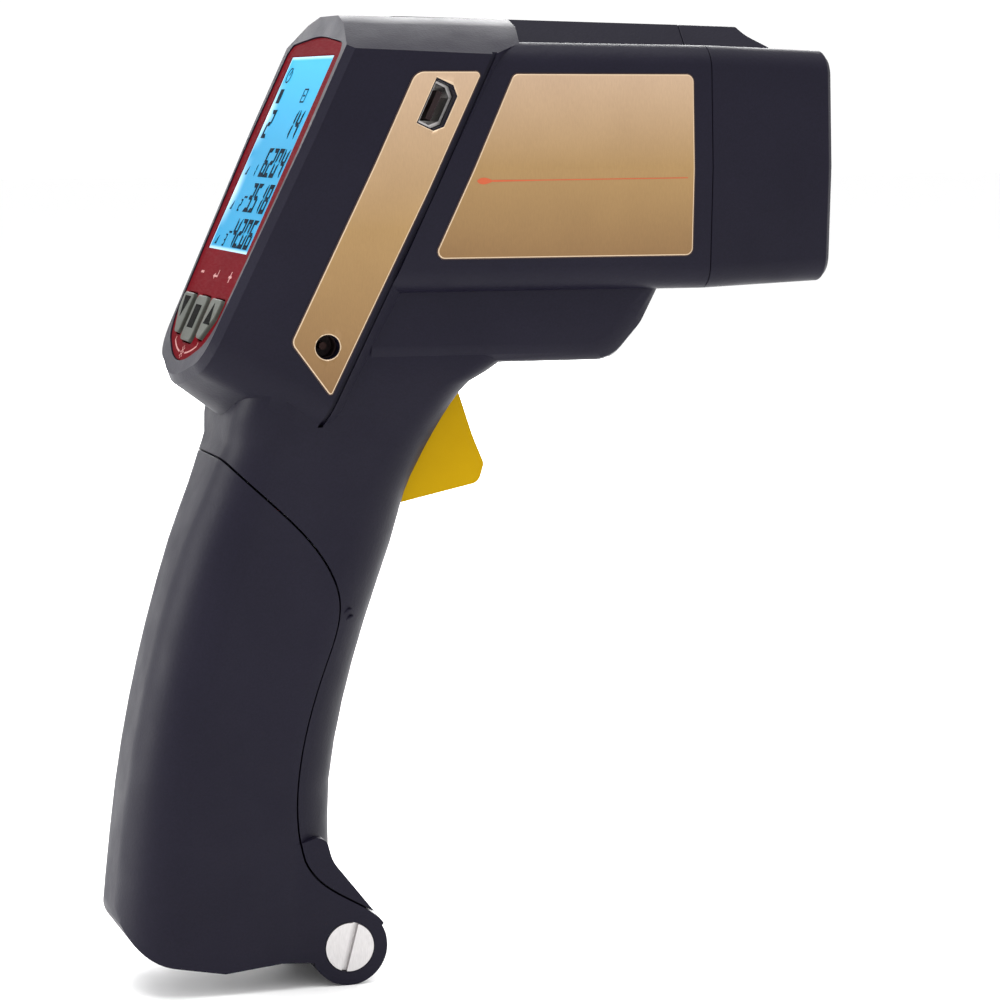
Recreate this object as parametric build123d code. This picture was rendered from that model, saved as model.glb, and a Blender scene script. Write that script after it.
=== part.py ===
from build123d import *
from math import cos, hypot, radians, sin, sqrt
import os

# Handheld color analyzer. +X points out of the front cap, +Y to the holder's left, +Z up.
# The holder reads the display at the back, pulls the trigger and opens the grip's battery cover.

# Display head
TILT = 25.0
DISPLAY_X = -31.0
DISPLAY_Z = 143.1
LCD_WIDTH = 28.7
LCD_HEIGHT = 36.7
FACE_HALF = 21.7
COLLAR_HALF = 22.9
RIM_HEIGHT = 2.3
RIM_BEVEL = 1.3
COLLAR_DEPTH = 21.1
BAND_DEPTH = 4.4
HEAD_TOP = 167.5
SHIELD_TOP = 45.0
SHIELD_BEND = 4.0
SHIELD_DRAW = 3.6
SHIELD_FOOT = -38.6
SHIELD_TIP = -43.9
SHIELD_DROP = 0.24
SHIELD_SHARPEN = 0.4
SHIELD_RADII = (60.0, 8.0, 24.0)
ROOF_HALF = 30.0
ROOF_DROP = 9.6
ROOF_TILT = 0.9
ROOF_X = -27.0
ROOF_FLAT = [(12.0, 1.4), (6.0, 0.0)]
GROOVE_WIDTH = 0.8
GROOVE_DEPTH = 0.8

# Barrel, cap, chin and ridge
BARREL_HALF = 22.6
BARREL_TOP = 162.5
BARREL_BOTTOM = 120.5
BARREL_REAR = -19.0
SEAM_X = 40.0
CAP_LENGTH = 23.6
CAP_TAPER = 1.9
CAP_BEVEL = 1.0
CHIN_HALF = 18.4
CHIN_BOTTOM = 108.2
CHIN_FRONT = 32.4
CHIN_ROUND = 3.2
CHIN_NOSE = [(2.9, 6.2), (8.4, 0.0)]
CHIN_REAR = -20.0
CHIN_CORNER = 6.0
CORNER_R = 4.6
SIDE_DRAW = (1.2, 1.0)
RIDGE_HALF = 5.0
RIDGE_RISE = 4.0
RIDGE_SLOPE = 0.9
RIDGE_SUNK = 5.8
RIDGE_REAR = -12.0
RIDGE_REAR_TOP = 167.4

# Walls and clearances
WALL = 2.2
BODY_GAP = 0.3
SEAM_GAP = 0.15
RUN_GAP = 0.04
PLAY = 0.1

# Grip sections: rear x, rear z, front x, front z, width, corner radius
GRIP_STATIONS = [
    (-36.5, 114.0, 5.6, 114.0, 35.6, 6.0),
    (-38.6, 108.4, 5.0, 108.6, 36.0, 6.0),
    (-41.2, 103.6, -0.8, 104.9, 35.6, 6.8),
    (-42.7, 98.6, -3.8, 101.0, 34.4, 7.6),
    (-43.0, 95.2, -6.5, 96.2, 33.4, 8.4),
    (-44.5, 91.7, -9.0, 91.0, 32.4, 9.2),
    (-46.6, 86.2, -11.2, 85.6, 31.5, 9.9),
    (-50.4, 76.8, -13.4, 77.0, 30.5, 10.5),
    (-54.7, 62.8, -18.0, 63.2, 30.0, 11.0),
    (-58.0, 48.8, -22.0, 49.3, 30.0, 11.0),
    (-60.5, 34.7, -24.6, 35.2, 30.0, 11.0),
    (-62.5, 18.0, -24.8, 22.0, 30.0, 11.0),
    (-64.0, 2.0, -24.8, 6.0, 30.0, 11.0),
]
GRIP_BACK = -62.9
GRIP_HEEL_Z = 7.1
GRIP_HEEL_R = 10.0
GRIP_SLOPE = 0.186

# Parting line of the battery cover, from the neck down to the hinge
SEAM_NECK = (-60.0, 107.9)
SEAM_SIDE = [(-44.0, 92.0), (-36.8, 84.8), (-28.7, 76.2), (-24.9, 67.0)]
SEAM_SIDE += [(-27.7, 55.7), (-32.4, 37.0), (-31.4, 22.6)]
SEAM_EAR = [(-27.1, 17.4), (-20.6, 13.5), (-15.0, 8.0)]
SEAM_SLANT = (0.95, 0.65)

# Hinge of the battery cover
HINGE_X = -23.4
HINGE_Z = 6.8
LUG_R = 6.8
TOE_HALF = 14.6
TOE_POINTS = [(-45, 22), (-27.6, 27.0), (-26.4, 22.3), (-21.4, 16.0), (-17.2, 10.6), (-23.4, 4), (-45, 5.5)]
TOE_RADII = [0, 2, 6, 6, 0, 0, 0]
KNUCKLE_HALF = 10.3
HINGE_PIN_R = 2.0
HINGE_HEAD_R = 4.3
HINGE_HEAD = 2.4
HINGE_SLOT = 1.0
HINGE_SLOT_TURN = 14.6

# Trigger
PIVOT_X = -8.5
PIVOT_Z = 105.6
TRIGGER_HALF = 5.5
TRIGGER_PIN_R = 1.5
TRIGGER_BOSS_R = 3.4
TRIGGER_PIN_HALF = 9.0
SPRING_X = -15.5
SPRING_R = 1.7
SPRING_LENGTH = 6.0
HEEL_TOP = 107.3
PLUNGER_R = 1.0
PLUNGER_Z = 93.0
PLUNGER_LENGTH = 6.2
PLUNGER_REACH = 0.3
SWITCH_SETBACK = 4.0
SWITCH_LENGTH = 6.5
SWITCH_HALF = 3.0
TRIGGER_BACK = -14.5
TRIGGER_FRONT = [(-0.4, 101.5), (1.9, 94.6), (4.0, 89.6)]
TRIGGER_TIP = (3.0, 86.3)
TRIGGER_FOOT_Z = 82.8
TRIGGER_NECK_Z = 103.2
TRIGGER_CREST = [(-12.4, 107.3), (-8.5, 109.6), (-3.0, 108.6)]
SPRING_SEAT = 2.2
SPRING_WALL = 0.5
SLOT_LOW = 81.4
SLOT_HIGH = 107.2

# Display stack, heights measured out from the glass
BEZEL_TOP = 1.2
BEZEL_THICK = 1.8
WINDOW_LIP = (1.5, 0.7)
WINDOW_LIP_THICK = 0.9
FACE_WALL = 4.0
GLASS_TOP = -2.2
GLASS_THICK = 1.6
BOARD_TOP = -5.8
BOARD_THICK = 1.6
FRAME_WALL = 0.8
KEY_TOP = 1.9
KEY_FLANGE = 0.55
KEY_FLANGE_THICK = 0.9
KEY_STEM = (4.0, 3.4, 1.8)
KEY_REACH = 10.2
KEY_DROP = 0.12
KEY_CORNER = 1.2
SIDE_KEY_CORNER = 0.9
KEY_ROW = -27.0
KEY_HALF = 3.9
KEY_LENGTH = 8.4
SIDE_KEY_INNER = 6.7
SIDE_KEY_OUTER = 14.5
SIDE_KEY_LENGTH = 7.4
KEY_TRAVEL = 0.8
LEDGE = 0.9
BEZEL_LOW = [(19.0, 1.0), (15.9, -34.2), (0, -40.6)]
BEZEL_HIGH = [(0, 22.1), (18.2, 20.4)]
BEZEL_RADII = [60, 3, 60, 8, 22]
MAT_WIDE = 24.4
DOME_R = 2.2
POST_R = 1.8
POST_ACROSS = (11.5, 14.8)
POST_HIGH = 4.4
POST_LOW = 3.0

# Main board and sockets
MAIN_BOARD_Y = -12.4
USB_ALONG = 17.3
SOCKET_DEPTH = -15.8
USB_LONG = 7.7
USB_SHORT = 3.9
USB_CUT = 1.3
USB_TONGUE = (-2.6, 2.6, -0.45, 0.55)
USB_WALL = 0.4
USB_RECESS = 1.8
DC_ALONG = -27.1
DC_R = 1.95
DC_PIN_R = 0.65
DC_BODY_R = 3.2
DC_SETBACK = 0.55
CHIPS = [(-4.0, 137.0, 9.0, 9.0), (-17.5, 140.5, 5.0, 4.0), (17.0, 151.0, 6.0, 5.0)]
CHIP_THICK = 1.3
BUZZER = (3.0, 150.6, 5.0, 4.4)
CABLE_WIDE = 10.0
CABLE_THICK = 0.3

# Optics, along the barrel's axis
AXIS_Z = 141.5
NOSE_HALF = 15.5
NOSE_REACH = 16.0
NOSE_WALL = 2.4
NOSE_FRONT_WALL = 3.0
NOSE_FLANGE = 2.4
NOSE_FLANGE_THICK = 2.0
PORT_R = 4.0
TUBE_R = 8.0
TUBE_WALL = 1.4
TUBE_REAR = 12.2
TUBE_REACH = 6.0
SENSOR_BOARD_HALF = 11.5
SENSOR_HALF = 2.2
SENSOR_THICK = 1.3
LAMP_COUNT = 6
LAMP_R = 1.5
LAMP_LONG = 2.0
LAMP_BOARD_SETBACK = 4.0
LAMP_BOARD_THICK = 1.2
LENS_THICK = 4.0
LENS_CURVE = 12.0
LENS_SETBACK = 8.0
LENS_FIT = 0.05
TILE_R = 10.0
TILE_THICK = 2.2
CAP_WALL = 2.5
HOLDER_WALL = 1.6
CAP_RIB = (0.8, 10.0)
CREST_LINE = [(9.6, 180.0), (10.0, 165.9), (16.2, 162.4), (16.2, 150.0)]
CREST_R = 7.0

# Battery, tilted with the grip
BATTERY_X = -46.1
BATTERY_Z = 11.4
BATTERY_TILT = 8.5
BATTERY_LONG = 46.0
BATTERY_DEEP = 25.8
BATTERY_WIDE = 16.8
BATTERY_CORNER = 1.6
TERMINAL_SPACING = 12.7
TERMINAL_HEIGHT = 2.0
TERMINAL_R = (2.8, 4.2)
TERMINAL_WALL = 0.9
SNAP_HALF = (12.4, 6.0)
SNAP_SPAN = (0.6, 4.4)
PAD_HALF = 5.0
PAD_SPAN = (12.0, 34.0)
TRAY_WALL = 1.0
TRAY_REACH = 2.6
TRAY_CORNER = 4.0
TRAY_RIBS = (15.0, 27.0, 40.0)
RIB_THICK = 2.0
TRAY_HEIGHT = 42.0
LEAD_R = 0.6

# Case screws: x, z, seat of the head from the middle
CASE_SCREWS = [(22.0, 124.8, 15.0), (31.0, 156.3, 15.0), (-37.0, 98.6, 11.5)]
CASE_SCREWS += [(19.0, 113.2, 11.5), (-20.2, 73.6, 9.0)]
SCREW_R = 1.2
SCREW_HEAD_R = 2.5
SCREW_HEAD = 1.8
SCREW_BITE = 9.0
BOSS_R = 3.0
CROSS_LONG = 2.8
CROSS_WIDE = 0.7
LABEL_THICK = 0.25
STRIP_DEPTHS = (-9.95, -20.2)
STRIP_TOPS = (20.8, 25.6)
STRIP_FEET = (-29.0, -34.4)
STRIP_RADII = [2.4, 0.6, 0.4, 1.6]
BARREL_LABEL = [(4.2, 157.4), (36.6, 157.4), (36.6, 126.5), (-10.0, 126.5)]
BARREL_LABEL_R = 1.2
HIDDEN = 400.0

# Values worked out from those above
lean = radians(TILT)
DISPLAY = Plane(origin=(DISPLAY_X, 0, DISPLAY_Z), x_dir=(0, -1, 0), z_dir=(-cos(lean), 0, sin(lean)))
BOTH_SIDES = (-1, 1)
CAP_FRONT = SEAM_X + CAP_LENGTH
RIDGE_FRONT_TOP = BARREL_TOP + RIDGE_RISE - 0.2
SPRING_TOP = HEEL_TOP + SPRING_LENGTH
SWITCH_FRONT = TRIGGER_BACK - SWITCH_SETBACK
SWITCH_BACK = SWITCH_FRONT - SWITCH_LENGTH


def on_display(along, out):
    """Point (x, z) of the middle plane that lies this far up the display and out of it."""
    return (DISPLAY_X + along * sin(lean) - out * cos(lean), DISPLAY_Z + along * cos(lean) + out * sin(lean))


def block(x, y, z):
    """Box from pairs of limits."""
    size = [high - low for low, high in (x, y, z)]
    middle = [(high + low) / 2 for low, high in (x, y, z)]
    return Pos(*middle) * Box(*size)


def rod(x, z, radius, y):
    """Round bar across the body between two y limits."""
    return Pos(x, (y[0] + y[1]) / 2, z) * Rot(90, 0, 0) * Cylinder(radius, y[1] - y[0])


def axial(radius, x):
    """Round bar along the barrel's axis between two x limits."""
    return Pos((x[0] + x[1]) / 2, 0, AXIS_Z) * Rot(0, 90, 0) * Cylinder(radius, x[1] - x[0])


def side_prism(points, half, radii=0):
    """Side outline of (x, z) points carried to both sides of the middle plane."""
    face = make_face(FilletPolyline(*points, radius=radii, close=True))
    return extrude(Plane.XZ * face, half, both=True)


def outline(points, radii):
    """Closed face through points on the right, mirrored to the left."""
    pairs = list(zip(points, radii))
    pairs += [((-x, y), radius) for (x, y), radius in reversed(pairs) if x]
    return make_face(FilletPolyline(*[p for p, _ in pairs], radius=[r for _, r in pairs], close=True))


def on_face(face, low, high):
    """Face drawn on the display, carried between two heights above the glass."""
    return extrude(DISPLAY * Pos(0, 0, low) * face, high - low)


# Outer form, each block drawn in by a wall


def shield(half, inset, deep=0):
    """Display head's outline: sides that draw in below the bend, down to a tip that is lower deeper in."""
    side = half - inset
    foot = (side - SHIELD_DRAW, SHIELD_FOOT + 0.7 * inset)
    bend_r, foot_r, tip_r = SHIELD_RADII
    tip = SHIELD_TIP + inset - SHIELD_DROP * deep
    points = [(side, SHIELD_TOP), (side, SHIELD_BEND), foot, (0, tip)]
    return outline(points, [0, bend_r, foot_r - inset, tip_r - SHIELD_SHARPEN * deep])


def collar(inset, front=RIM_HEIGHT):
    slope = (FACE_HALF - COLLAR_HALF) / (RIM_HEIGHT + COLLAR_DEPTH)
    half = COLLAR_HALF + slope * (front + COLLAR_DEPTH)
    deep = COLLAR_DEPTH + front
    band = DISPLAY * Pos(0, 0, -COLLAR_DEPTH - BAND_DEPTH) * shield(COLLAR_HALF - BAND_DEPTH, inset, deep)
    back = DISPLAY * Pos(0, 0, -COLLAR_DEPTH) * shield(COLLAR_HALF, inset, deep)
    edge = DISPLAY * Pos(0, 0, front - RIM_BEVEL) * shield(half, inset)
    face = DISPLAY * Pos(0, 0, front) * shield(half, inset + RIM_BEVEL)
    body = loft([band, back], ruled=True) + loft([back, edge], ruled=True) + loft([edge, face], ruled=True)
    top = HEAD_TOP - inset
    crown = [(x, top - drop) for x, drop in ROOF_FLAT]
    roof = outline([(ROOF_HALF, 0), (ROOF_HALF, top - ROOF_DROP), *crown], [0, 0, 0, 0])
    tilt = Pos(ROOF_X, 0, top) * Rot(0, ROOF_TILT, 0) * Pos(-ROOF_X, 0, -top)
    return body & tilt * extrude(Plane.YZ * roof, HIDDEN / 2, both=True)


def ahead_of_collar(back):
    """Everything ahead of a plane behind the glass."""
    return DISPLAY * Pos(0, 0, -back - HIDDEN / 2) * Box(HIDDEN, HIDDEN, HIDDEN)


def barrel_face(half, top, bottom, inset):
    """Barrel's cross-section: sides that draw in a little from mid height to the top and the bottom."""
    side = half - inset
    points = [
        (side - SIDE_DRAW[0], top - inset),
        (side, (top + bottom) / 2),
        (side - SIDE_DRAW[1], bottom + inset),
    ]
    return outline(points, [CORNER_R - inset, 0, CORNER_R - inset])


def barrel(inset):
    rear = Plane.YZ.offset(BARREL_REAR) * barrel_face(BARREL_HALF, BARREL_TOP + 0.6, BARREL_BOTTOM, inset)
    front = Plane.YZ.offset(SEAM_X - inset) * barrel_face(BARREL_HALF, BARREL_TOP, BARREL_BOTTOM, inset)
    return loft([rear, front], ruled=True) & ahead_of_collar(COLLAR_DEPTH - 0.4 - inset)


def ridge_face(x, top):
    foot = RIDGE_HALF + RIDGE_SLOPE * RIDGE_RISE
    points = [(RIDGE_HALF, top), (foot, top - RIDGE_RISE), (foot, top - RIDGE_SUNK)]
    return Plane.YZ.offset(x) * outline(points, [0, 0, 0])


def ridge(x0, top0, x1, top1):
    return loft([ridge_face(x0, top0), ridge_face(x1, top1)], ruled=True)


def chin_face(y, inset):
    """Chin's side outline at this distance from the middle plane."""
    front = CHIN_FRONT - inset
    low = CHIN_BOTTOM + inset
    points = [(front, BARREL_BOTTOM + 4), (front, BARREL_BOTTOM)]
    points += [(front - back, low + up) for back, up in CHIN_NOSE]
    points += [(CHIN_REAR, low), (CHIN_REAR, BARREL_BOTTOM + 4)]
    face = make_face(FilletPolyline(*points, radius=[0, 0, CHIN_CORNER, CHIN_CORNER, 0, 0], close=True))
    return Plane.XZ.offset(-y) * face


def chin(inset):
    """Block under the barrel, with its lower and front edges rounded at the sides."""
    side = CHIN_HALF - inset
    turns = [radians(30 * step) for step in range(4)]
    places = [(side - CHIN_ROUND * (1 - cos(turn)), CHIN_ROUND * (1 - sin(turn))) for turn in turns]
    places = [(-y, more) for y, more in places] + places[::-1]
    faces = [chin_face(y, inset + more) for y, more in places]
    body = loft(faces[:2], ruled=True)
    for near, far in zip(faces[1:], faces[2:]):
        body += loft([near, far], ruled=True)
    return body


def grip_sections():
    """Grip's sections, with one more between each two on a smooth curve through them."""
    rows = [GRIP_STATIONS[0], *GRIP_STATIONS, GRIP_STATIONS[-1]]
    sections = []
    for before, high, low, after in zip(rows, rows[1:], rows[2:], rows[3:]):
        sections.append(high)
        sections.append([(9 * (b + c) - a - d) / 16 for a, b, c, d in zip(before, high, low, after)])
    return sections + [GRIP_STATIONS[-1]]


def grip(inset):
    faces = []
    for rear_x, rear_z, front_x, front_z, width, corner in grip_sections():
        depth = hypot(front_x - rear_x, front_z - rear_z)
        across = ((front_x - rear_x) / depth, 0, (front_z - rear_z) / depth)
        middle = ((rear_x + front_x) / 2, 0, (rear_z + front_z) / 2)
        plane = Plane(origin=middle, x_dir=across, z_dir=(across[2], 0, -across[0]))
        faces.append(plane * RectangleRounded(depth - 2 * inset, width - 2 * inset, corner - inset))
    return loft(faces, ruled=True) & under_grip(inset)


def under_grip(inset):
    """Everything above the grip's sloping bottom and ahead of its back."""
    back = GRIP_BACK + inset
    heel = (back, GRIP_HEEL_Z + inset)
    toe = (0, heel[1] + GRIP_SLOPE * back)
    points = [(back, HIDDEN), heel, toe, (HIDDEN, toe[1]), (HIDDEN, HIDDEN)]
    return side_prism(points, HIDDEN / 2, [0, GRIP_HEEL_R - inset, 0, 0, 0])


def toe():
    """Solid foot that carries the hinge, with a round lug about its pin."""
    web = side_prism(TOE_POINTS, TOE_HALF, TOE_RADII)
    lug = rod(HINGE_X, HINGE_Z, LUG_R, (-TOE_HALF, TOE_HALF))
    return (web + lug) & (under_grip(0) + lug)


def outer_form():
    body = collar(0) + barrel(0) + ridge(RIDGE_REAR, RIDGE_REAR_TOP, SEAM_X, RIDGE_FRONT_TOP)
    return body + chin(0) + grip(0) + toe()


def hollow(body):
    """Body with the inside taken out block by block, stopped behind the display wall."""
    for inner in (collar(WALL, RIM_HEIGHT - FACE_WALL), barrel(WALL), chin(WALL), grip(WALL)):
        body -= inner
    return body


# Display openings


def bezel_outline(grow):
    """Display plate's outline, grown by a distance."""
    (_, crown), (shoulder, shoulder_y) = BEZEL_HIGH
    (side, side_y), (foot, foot_y), (_, tip) = BEZEL_LOW
    points = [(0, crown + grow), (shoulder + grow, shoulder_y + grow), (side + grow, side_y)]
    points += [(foot + grow, foot_y - 0.7 * grow), (0, tip - grow)]
    crown_r, shoulder_r, side_r, foot_r, tip_r = BEZEL_RADII
    return outline(points, [crown_r, shoulder_r + grow, side_r, foot_r + grow, tip_r])


def key_outline(place, grow):
    """Outline of the key in place -1, 0 or 1, counted to the holder's right."""
    top = KEY_ROW + grow
    if place == 0:
        half = KEY_HALF + grow
        middle = KEY_ROW - KEY_LENGTH / 2
        return Pos(0, middle) * RectangleRounded(2 * half, KEY_LENGTH + 2 * grow, KEY_CORNER + grow)
    inner = SIDE_KEY_INNER - grow
    outer = SIDE_KEY_OUTER + grow
    low = KEY_ROW - SIDE_KEY_LENGTH - grow
    points = [(inner, top), (outer, top), (outer - 0.4, low + 4.2), (outer - 4.6, low), (inner, low)]
    points = [(place * x, y) for x, y in points]
    return make_face(FilletPolyline(*points, radius=SIDE_KEY_CORNER + grow, close=True))


def display_openings():
    """Recess for the bezel and the opening behind it."""
    recess = on_face(bezel_outline(PLAY), BEZEL_TOP - BEZEL_THICK, RIM_HEIGHT + 5)
    opening = on_face(bezel_outline(-LEDGE), RIM_HEIGHT - FACE_WALL - 1, BEZEL_TOP)
    return recess + opening


# Battery cover's share of the shell


def seam_outline():
    """Cover's side of the parting line, from the neck round the battery down to the hinge's ears."""
    side = Spline(*SEAM_SIDE)
    ear = Spline(SEAM_SIDE[-1], *SEAM_EAR)
    back = Polyline(SEAM_EAR[-1], (-5, -20), (-90, -20), (-90, 120), SEAM_NECK, SEAM_SIDE[0])
    return make_face([side, ear, back])


def cover_share(grow, half, reach):
    """Part of space that belongs to the cover, with the knuckle's room left out of its middle."""
    slant = Pos(SEAM_SLANT[0] * grow, SEAM_SLANT[1] * grow)
    share = extrude(Plane.XZ * slant * seam_outline(), HIDDEN / 4, both=True)
    pivot_room = rod(HINGE_X, HINGE_Z, reach, (-half, half))
    front_room = block((HINGE_X - LUG_R - 1 + grow, 60), (-half, half), (HINGE_Z, 30))
    return share - pivot_room - front_room


def hinge_bores(body, half, radius):
    """Pin's bore through the lug, with seats for its head and nut."""
    body -= rod(HINGE_X, HINGE_Z, radius, (-half, half))
    for side in BOTH_SIDES:
        seat = (TOE_HALF - HINGE_HEAD - PLAY, TOE_HALF + 5)
        body -= rod(HINGE_X, HINGE_Z, HINGE_HEAD_R + PLAY, sorted(side * limit for limit in seat))
    return body


def battery_cover(shell):
    """Cover's share of the shell, relieved where a wide battery and its tray reach it."""
    cover = shell & cover_share(0, KNUCKLE_HALF + BODY_GAP, LUG_R + BODY_GAP + 0.05)
    cover -= tray_form(BODY_GAP)
    cover -= battery_form(BODY_GAP)
    return hinge_bores(cover, TOE_HALF, HINGE_PIN_R + RUN_GAP)


# Housing


def groove():
    """Styling groove that runs round the display head where the collar ends."""
    slab = DISPLAY * Pos(0, 0, -COLLAR_DEPTH) * Box(HIDDEN, HIDDEN, GROOVE_WIDTH)
    section = shield(COLLAR_HALF, GROOVE_DEPTH, COLLAR_DEPTH + RIM_HEIGHT)
    floor = DISPLAY * Pos(0, 0, -COLLAR_DEPTH) * extrude(section, 2, both=True)
    above = block((-HIDDEN, HIDDEN), (-HIDDEN, HIDDEN), (98.0, HEAD_TOP - 0.7))
    return (slab - floor) & above & collar(-1)


def trigger_slot():
    points = [(-17.0, SLOT_LOW), (-3.0, SLOT_LOW), (13.0, SLOT_HIGH), (-7.0, SLOT_HIGH)]
    return side_prism(points, TRIGGER_HALF + BODY_GAP)


def usb_outline(grow):
    """Socket mouth with its two forward corners cut, along and out of the display."""
    long = USB_LONG / 2 + grow
    short = USB_SHORT / 2 + grow
    points = [(-long, short), (long, short), (long, USB_CUT - short), (long - USB_CUT, -short)]
    return points + [(USB_CUT - long, -short), (-long, USB_CUT - short)]


def usb_prism(grow, y):
    points = [on_display(USB_ALONG + u, SOCKET_DEPTH + n) for u, n in usb_outline(grow)]
    return extrude(Plane.XZ.offset(-y[1]) * make_face(Polyline(*points, close=True)), y[1] - y[0])


def dc_place():
    return on_display(DC_ALONG, SOCKET_DEPTH)


def socket_openings():
    x, z = dc_place()
    through = (-HIDDEN / 4, MAIN_BOARD_Y)
    return usb_prism(PLAY, through) + rod(x, z, DC_R + PLAY, through)


def board_post_places():
    """Screws of the display board, across and up the display."""
    high = LCD_HEIGHT / 2 + POST_HIGH
    low = KEY_ROW + POST_LOW
    upper, lower = POST_ACROSS
    return [(-upper, high), (upper, high), (-lower, low), (lower, low)]


def display_posts():
    posts = []
    for across, along in board_post_places():
        post = Pos(across, along) * (Circle(POST_R) - Circle(SCREW_R - 0.25))
        posts.append(on_face(post, BOARD_TOP, RIM_HEIGHT - FACE_WALL + 0.5))
    return posts


def trigger_bosses(y):
    boss = rod(PIVOT_X, PIVOT_Z, TRIGGER_BOSS_R, y)
    reach = TRIGGER_PIN_HALF + BODY_GAP
    return boss - rod(PIVOT_X, PIVOT_Z, TRIGGER_PIN_R + 0.02, (-reach, reach))


def case_boss(x, z, side, shell_inside):
    """Straight post from one side wall to the middle plane."""
    span = sorted((0, side * HIDDEN / 4))
    return rod(x, z, BOSS_R, span) & shell_inside


def screw_bore(x, z, seat):
    bore = rod(x, z, SCREW_R + 0.15, (0, HIDDEN / 4)) + rod(x, z, SCREW_R + 0.02, (-SCREW_BITE - 0.5, 0))
    return bore + rod(x, z, SCREW_HEAD_R + 0.2, (seat, HIDDEN / 4))


def battery_at(x, y, z):
    """Place in the battery's own frame, z up its length."""
    return Pos(BATTERY_X, 0, BATTERY_Z) * Rot(0, BATTERY_TILT, 0) * Pos(x, y, z)


def battery_block(x, y, z):
    return Pos(BATTERY_X, 0, BATTERY_Z) * Rot(0, BATTERY_TILT, 0) * block(x, y, z)


def tray_front():
    return BATTERY_DEEP / 2 + BODY_GAP + TRAY_WALL


def housing_ribs(side):
    """Ribs that carry the tray, the spring's seat and the switch, on one side."""
    near, far = sorted((0, side * HIDDEN / 4))
    front = (tray_front() + 0.05, BATTERY_DEEP + TRAY_HEIGHT)
    ribs = [battery_block(front, (near, far), (low, low + RIB_THICK)) for low in TRAY_RIBS]
    if side > 0:
        spring_x = (SPRING_X - SPRING_SEAT, SPRING_X + SPRING_SEAT)
        ribs.append(block(spring_x, (-SPRING_SEAT, far), (SPRING_TOP, SPRING_TOP + RIB_THICK)))
        top = PLUNGER_Z - SWITCH_HALF - 0.05
        ribs.append(block((SWITCH_BACK, SWITCH_FRONT), (-SWITCH_HALF, far), (top - RIB_THICK, top)))
    return ribs


def housing(shell, solid, side):
    """One half of the case: shell, posts and ribs, less every opening."""
    half_space = block((-HIDDEN, HIDDEN), sorted((0, side * HIDDEN)), (-HIDDEN, HIDDEN))
    body = shell - cover_share(BODY_GAP, KNUCKLE_HALF, LUG_R)
    body = body & half_space
    for x, z, _ in CASE_SCREWS:
        body += case_boss(x, z, side, solid)
    body += trigger_bosses(sorted((side * (TRIGGER_HALF + BODY_GAP), side * 30))) & solid
    for rib in housing_ribs(side):
        body += rib & solid & half_space_reach(side)
    for post in display_posts():
        body += post & solid & half_space
    body -= display_openings()
    body -= groove()
    body -= trigger_slot()
    body -= socket_openings()
    body -= nose_opening()
    body -= tray_form(RUN_GAP)
    body -= frame_room()
    for x, z, seat in CASE_SCREWS:
        body -= screw_bore(x, z, seat)
    return hinge_bores(body, TOE_HALF, HINGE_PIN_R + 0.02)


def half_space_reach(side):
    """Space of one half with the short reach across the middle that the spring's seat needs."""
    near = -3.0 if side > 0 else 0
    return block((-HIDDEN, HIDDEN), sorted((near, side * HIDDEN)), (-HIDDEN, HIDDEN))


def nose_opening():
    side = NOSE_HALF + PLAY
    return block((SEAM_X - WALL - 1, SEAM_X + 5), (-side, side), (AXIS_Z - side, AXIS_Z + side))


# Front cap with its white tile


def cap_section(x, inset):
    share = (x - SEAM_X) / CAP_LENGTH
    half = BARREL_HALF - CAP_TAPER * share
    top = BARREL_TOP - 0.8 * share
    low = BARREL_BOTTOM + 0.9 * share
    return Plane.YZ.offset(x) * barrel_face(half, top, low, inset)


def cap_block(x0, x1, inset):
    return loft([cap_section(x0, inset), cap_section(x1, inset)], ruled=True)


def front_cap():
    start = SEAM_X + SEAM_GAP
    edge = CAP_FRONT - CAP_BEVEL
    body = cap_block(start, edge, 0)
    body += loft([cap_section(edge, 0), cap_section(CAP_FRONT, CAP_BEVEL)], ruled=True)
    crest = ridge(start, RIDGE_FRONT_TOP, CAP_FRONT, RIDGE_FRONT_TOP - 0.6)
    line = [(SEAM_X + ahead, z) for ahead, z in CREST_LINE]
    back = [(start - 1, line[-1][1]), (start - 1, line[0][1])]
    body += crest & side_prism(back + line, ROOF_HALF, [0, 0, 0, CREST_R, 0, 0])
    floor = CAP_FRONT - CAP_WALL
    body -= cap_block(start - 0.01, floor, WALL)
    holder = axial(TILE_R + HOLDER_WALL, (floor - TILE_THICK - 0.8, floor + 0.1))
    body += holder - axial(TILE_R + PLAY, (floor - TILE_THICK - 1, floor))
    half, long = CAP_RIB
    for turn in range(4):
        rib = block((start + 1, start + 1 + long), (-half, half), (NOSE_HALF + BODY_GAP, ROOF_HALF))
        body += Pos(0, 0, AXIS_Z) * Rot(90 * turn, 0, 0) * rib & cap_block(start, CAP_FRONT - 1, CAP_BEVEL)
    return body


def white_tile():
    floor = CAP_FRONT - CAP_WALL
    return axial(TILE_R, (floor - TILE_THICK, floor - 0.02))


# Trigger group


def trigger():
    back = TRIGGER_BACK
    heel = SPRING_X - SPRING_SEAT
    points = TRIGGER_FRONT + [TRIGGER_TIP, (back + 1.2, TRIGGER_FOOT_Z), (back, TRIGGER_FOOT_Z + 3)]
    points += [(back, TRIGGER_NECK_Z), (heel, TRIGGER_NECK_Z + 0.4), (heel, HEEL_TOP), *TRIGGER_CREST]
    radii = [3, 20, 1.6, 2.0, 0.8, 0.8, 1, 0.8, 0.5, 1, 3, 3]
    body = side_prism(points, TRIGGER_HALF, radii)
    return body - rod(PIVOT_X, PIVOT_Z, TRIGGER_PIN_R + RUN_GAP, (-ROOF_HALF, ROOF_HALF))


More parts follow.
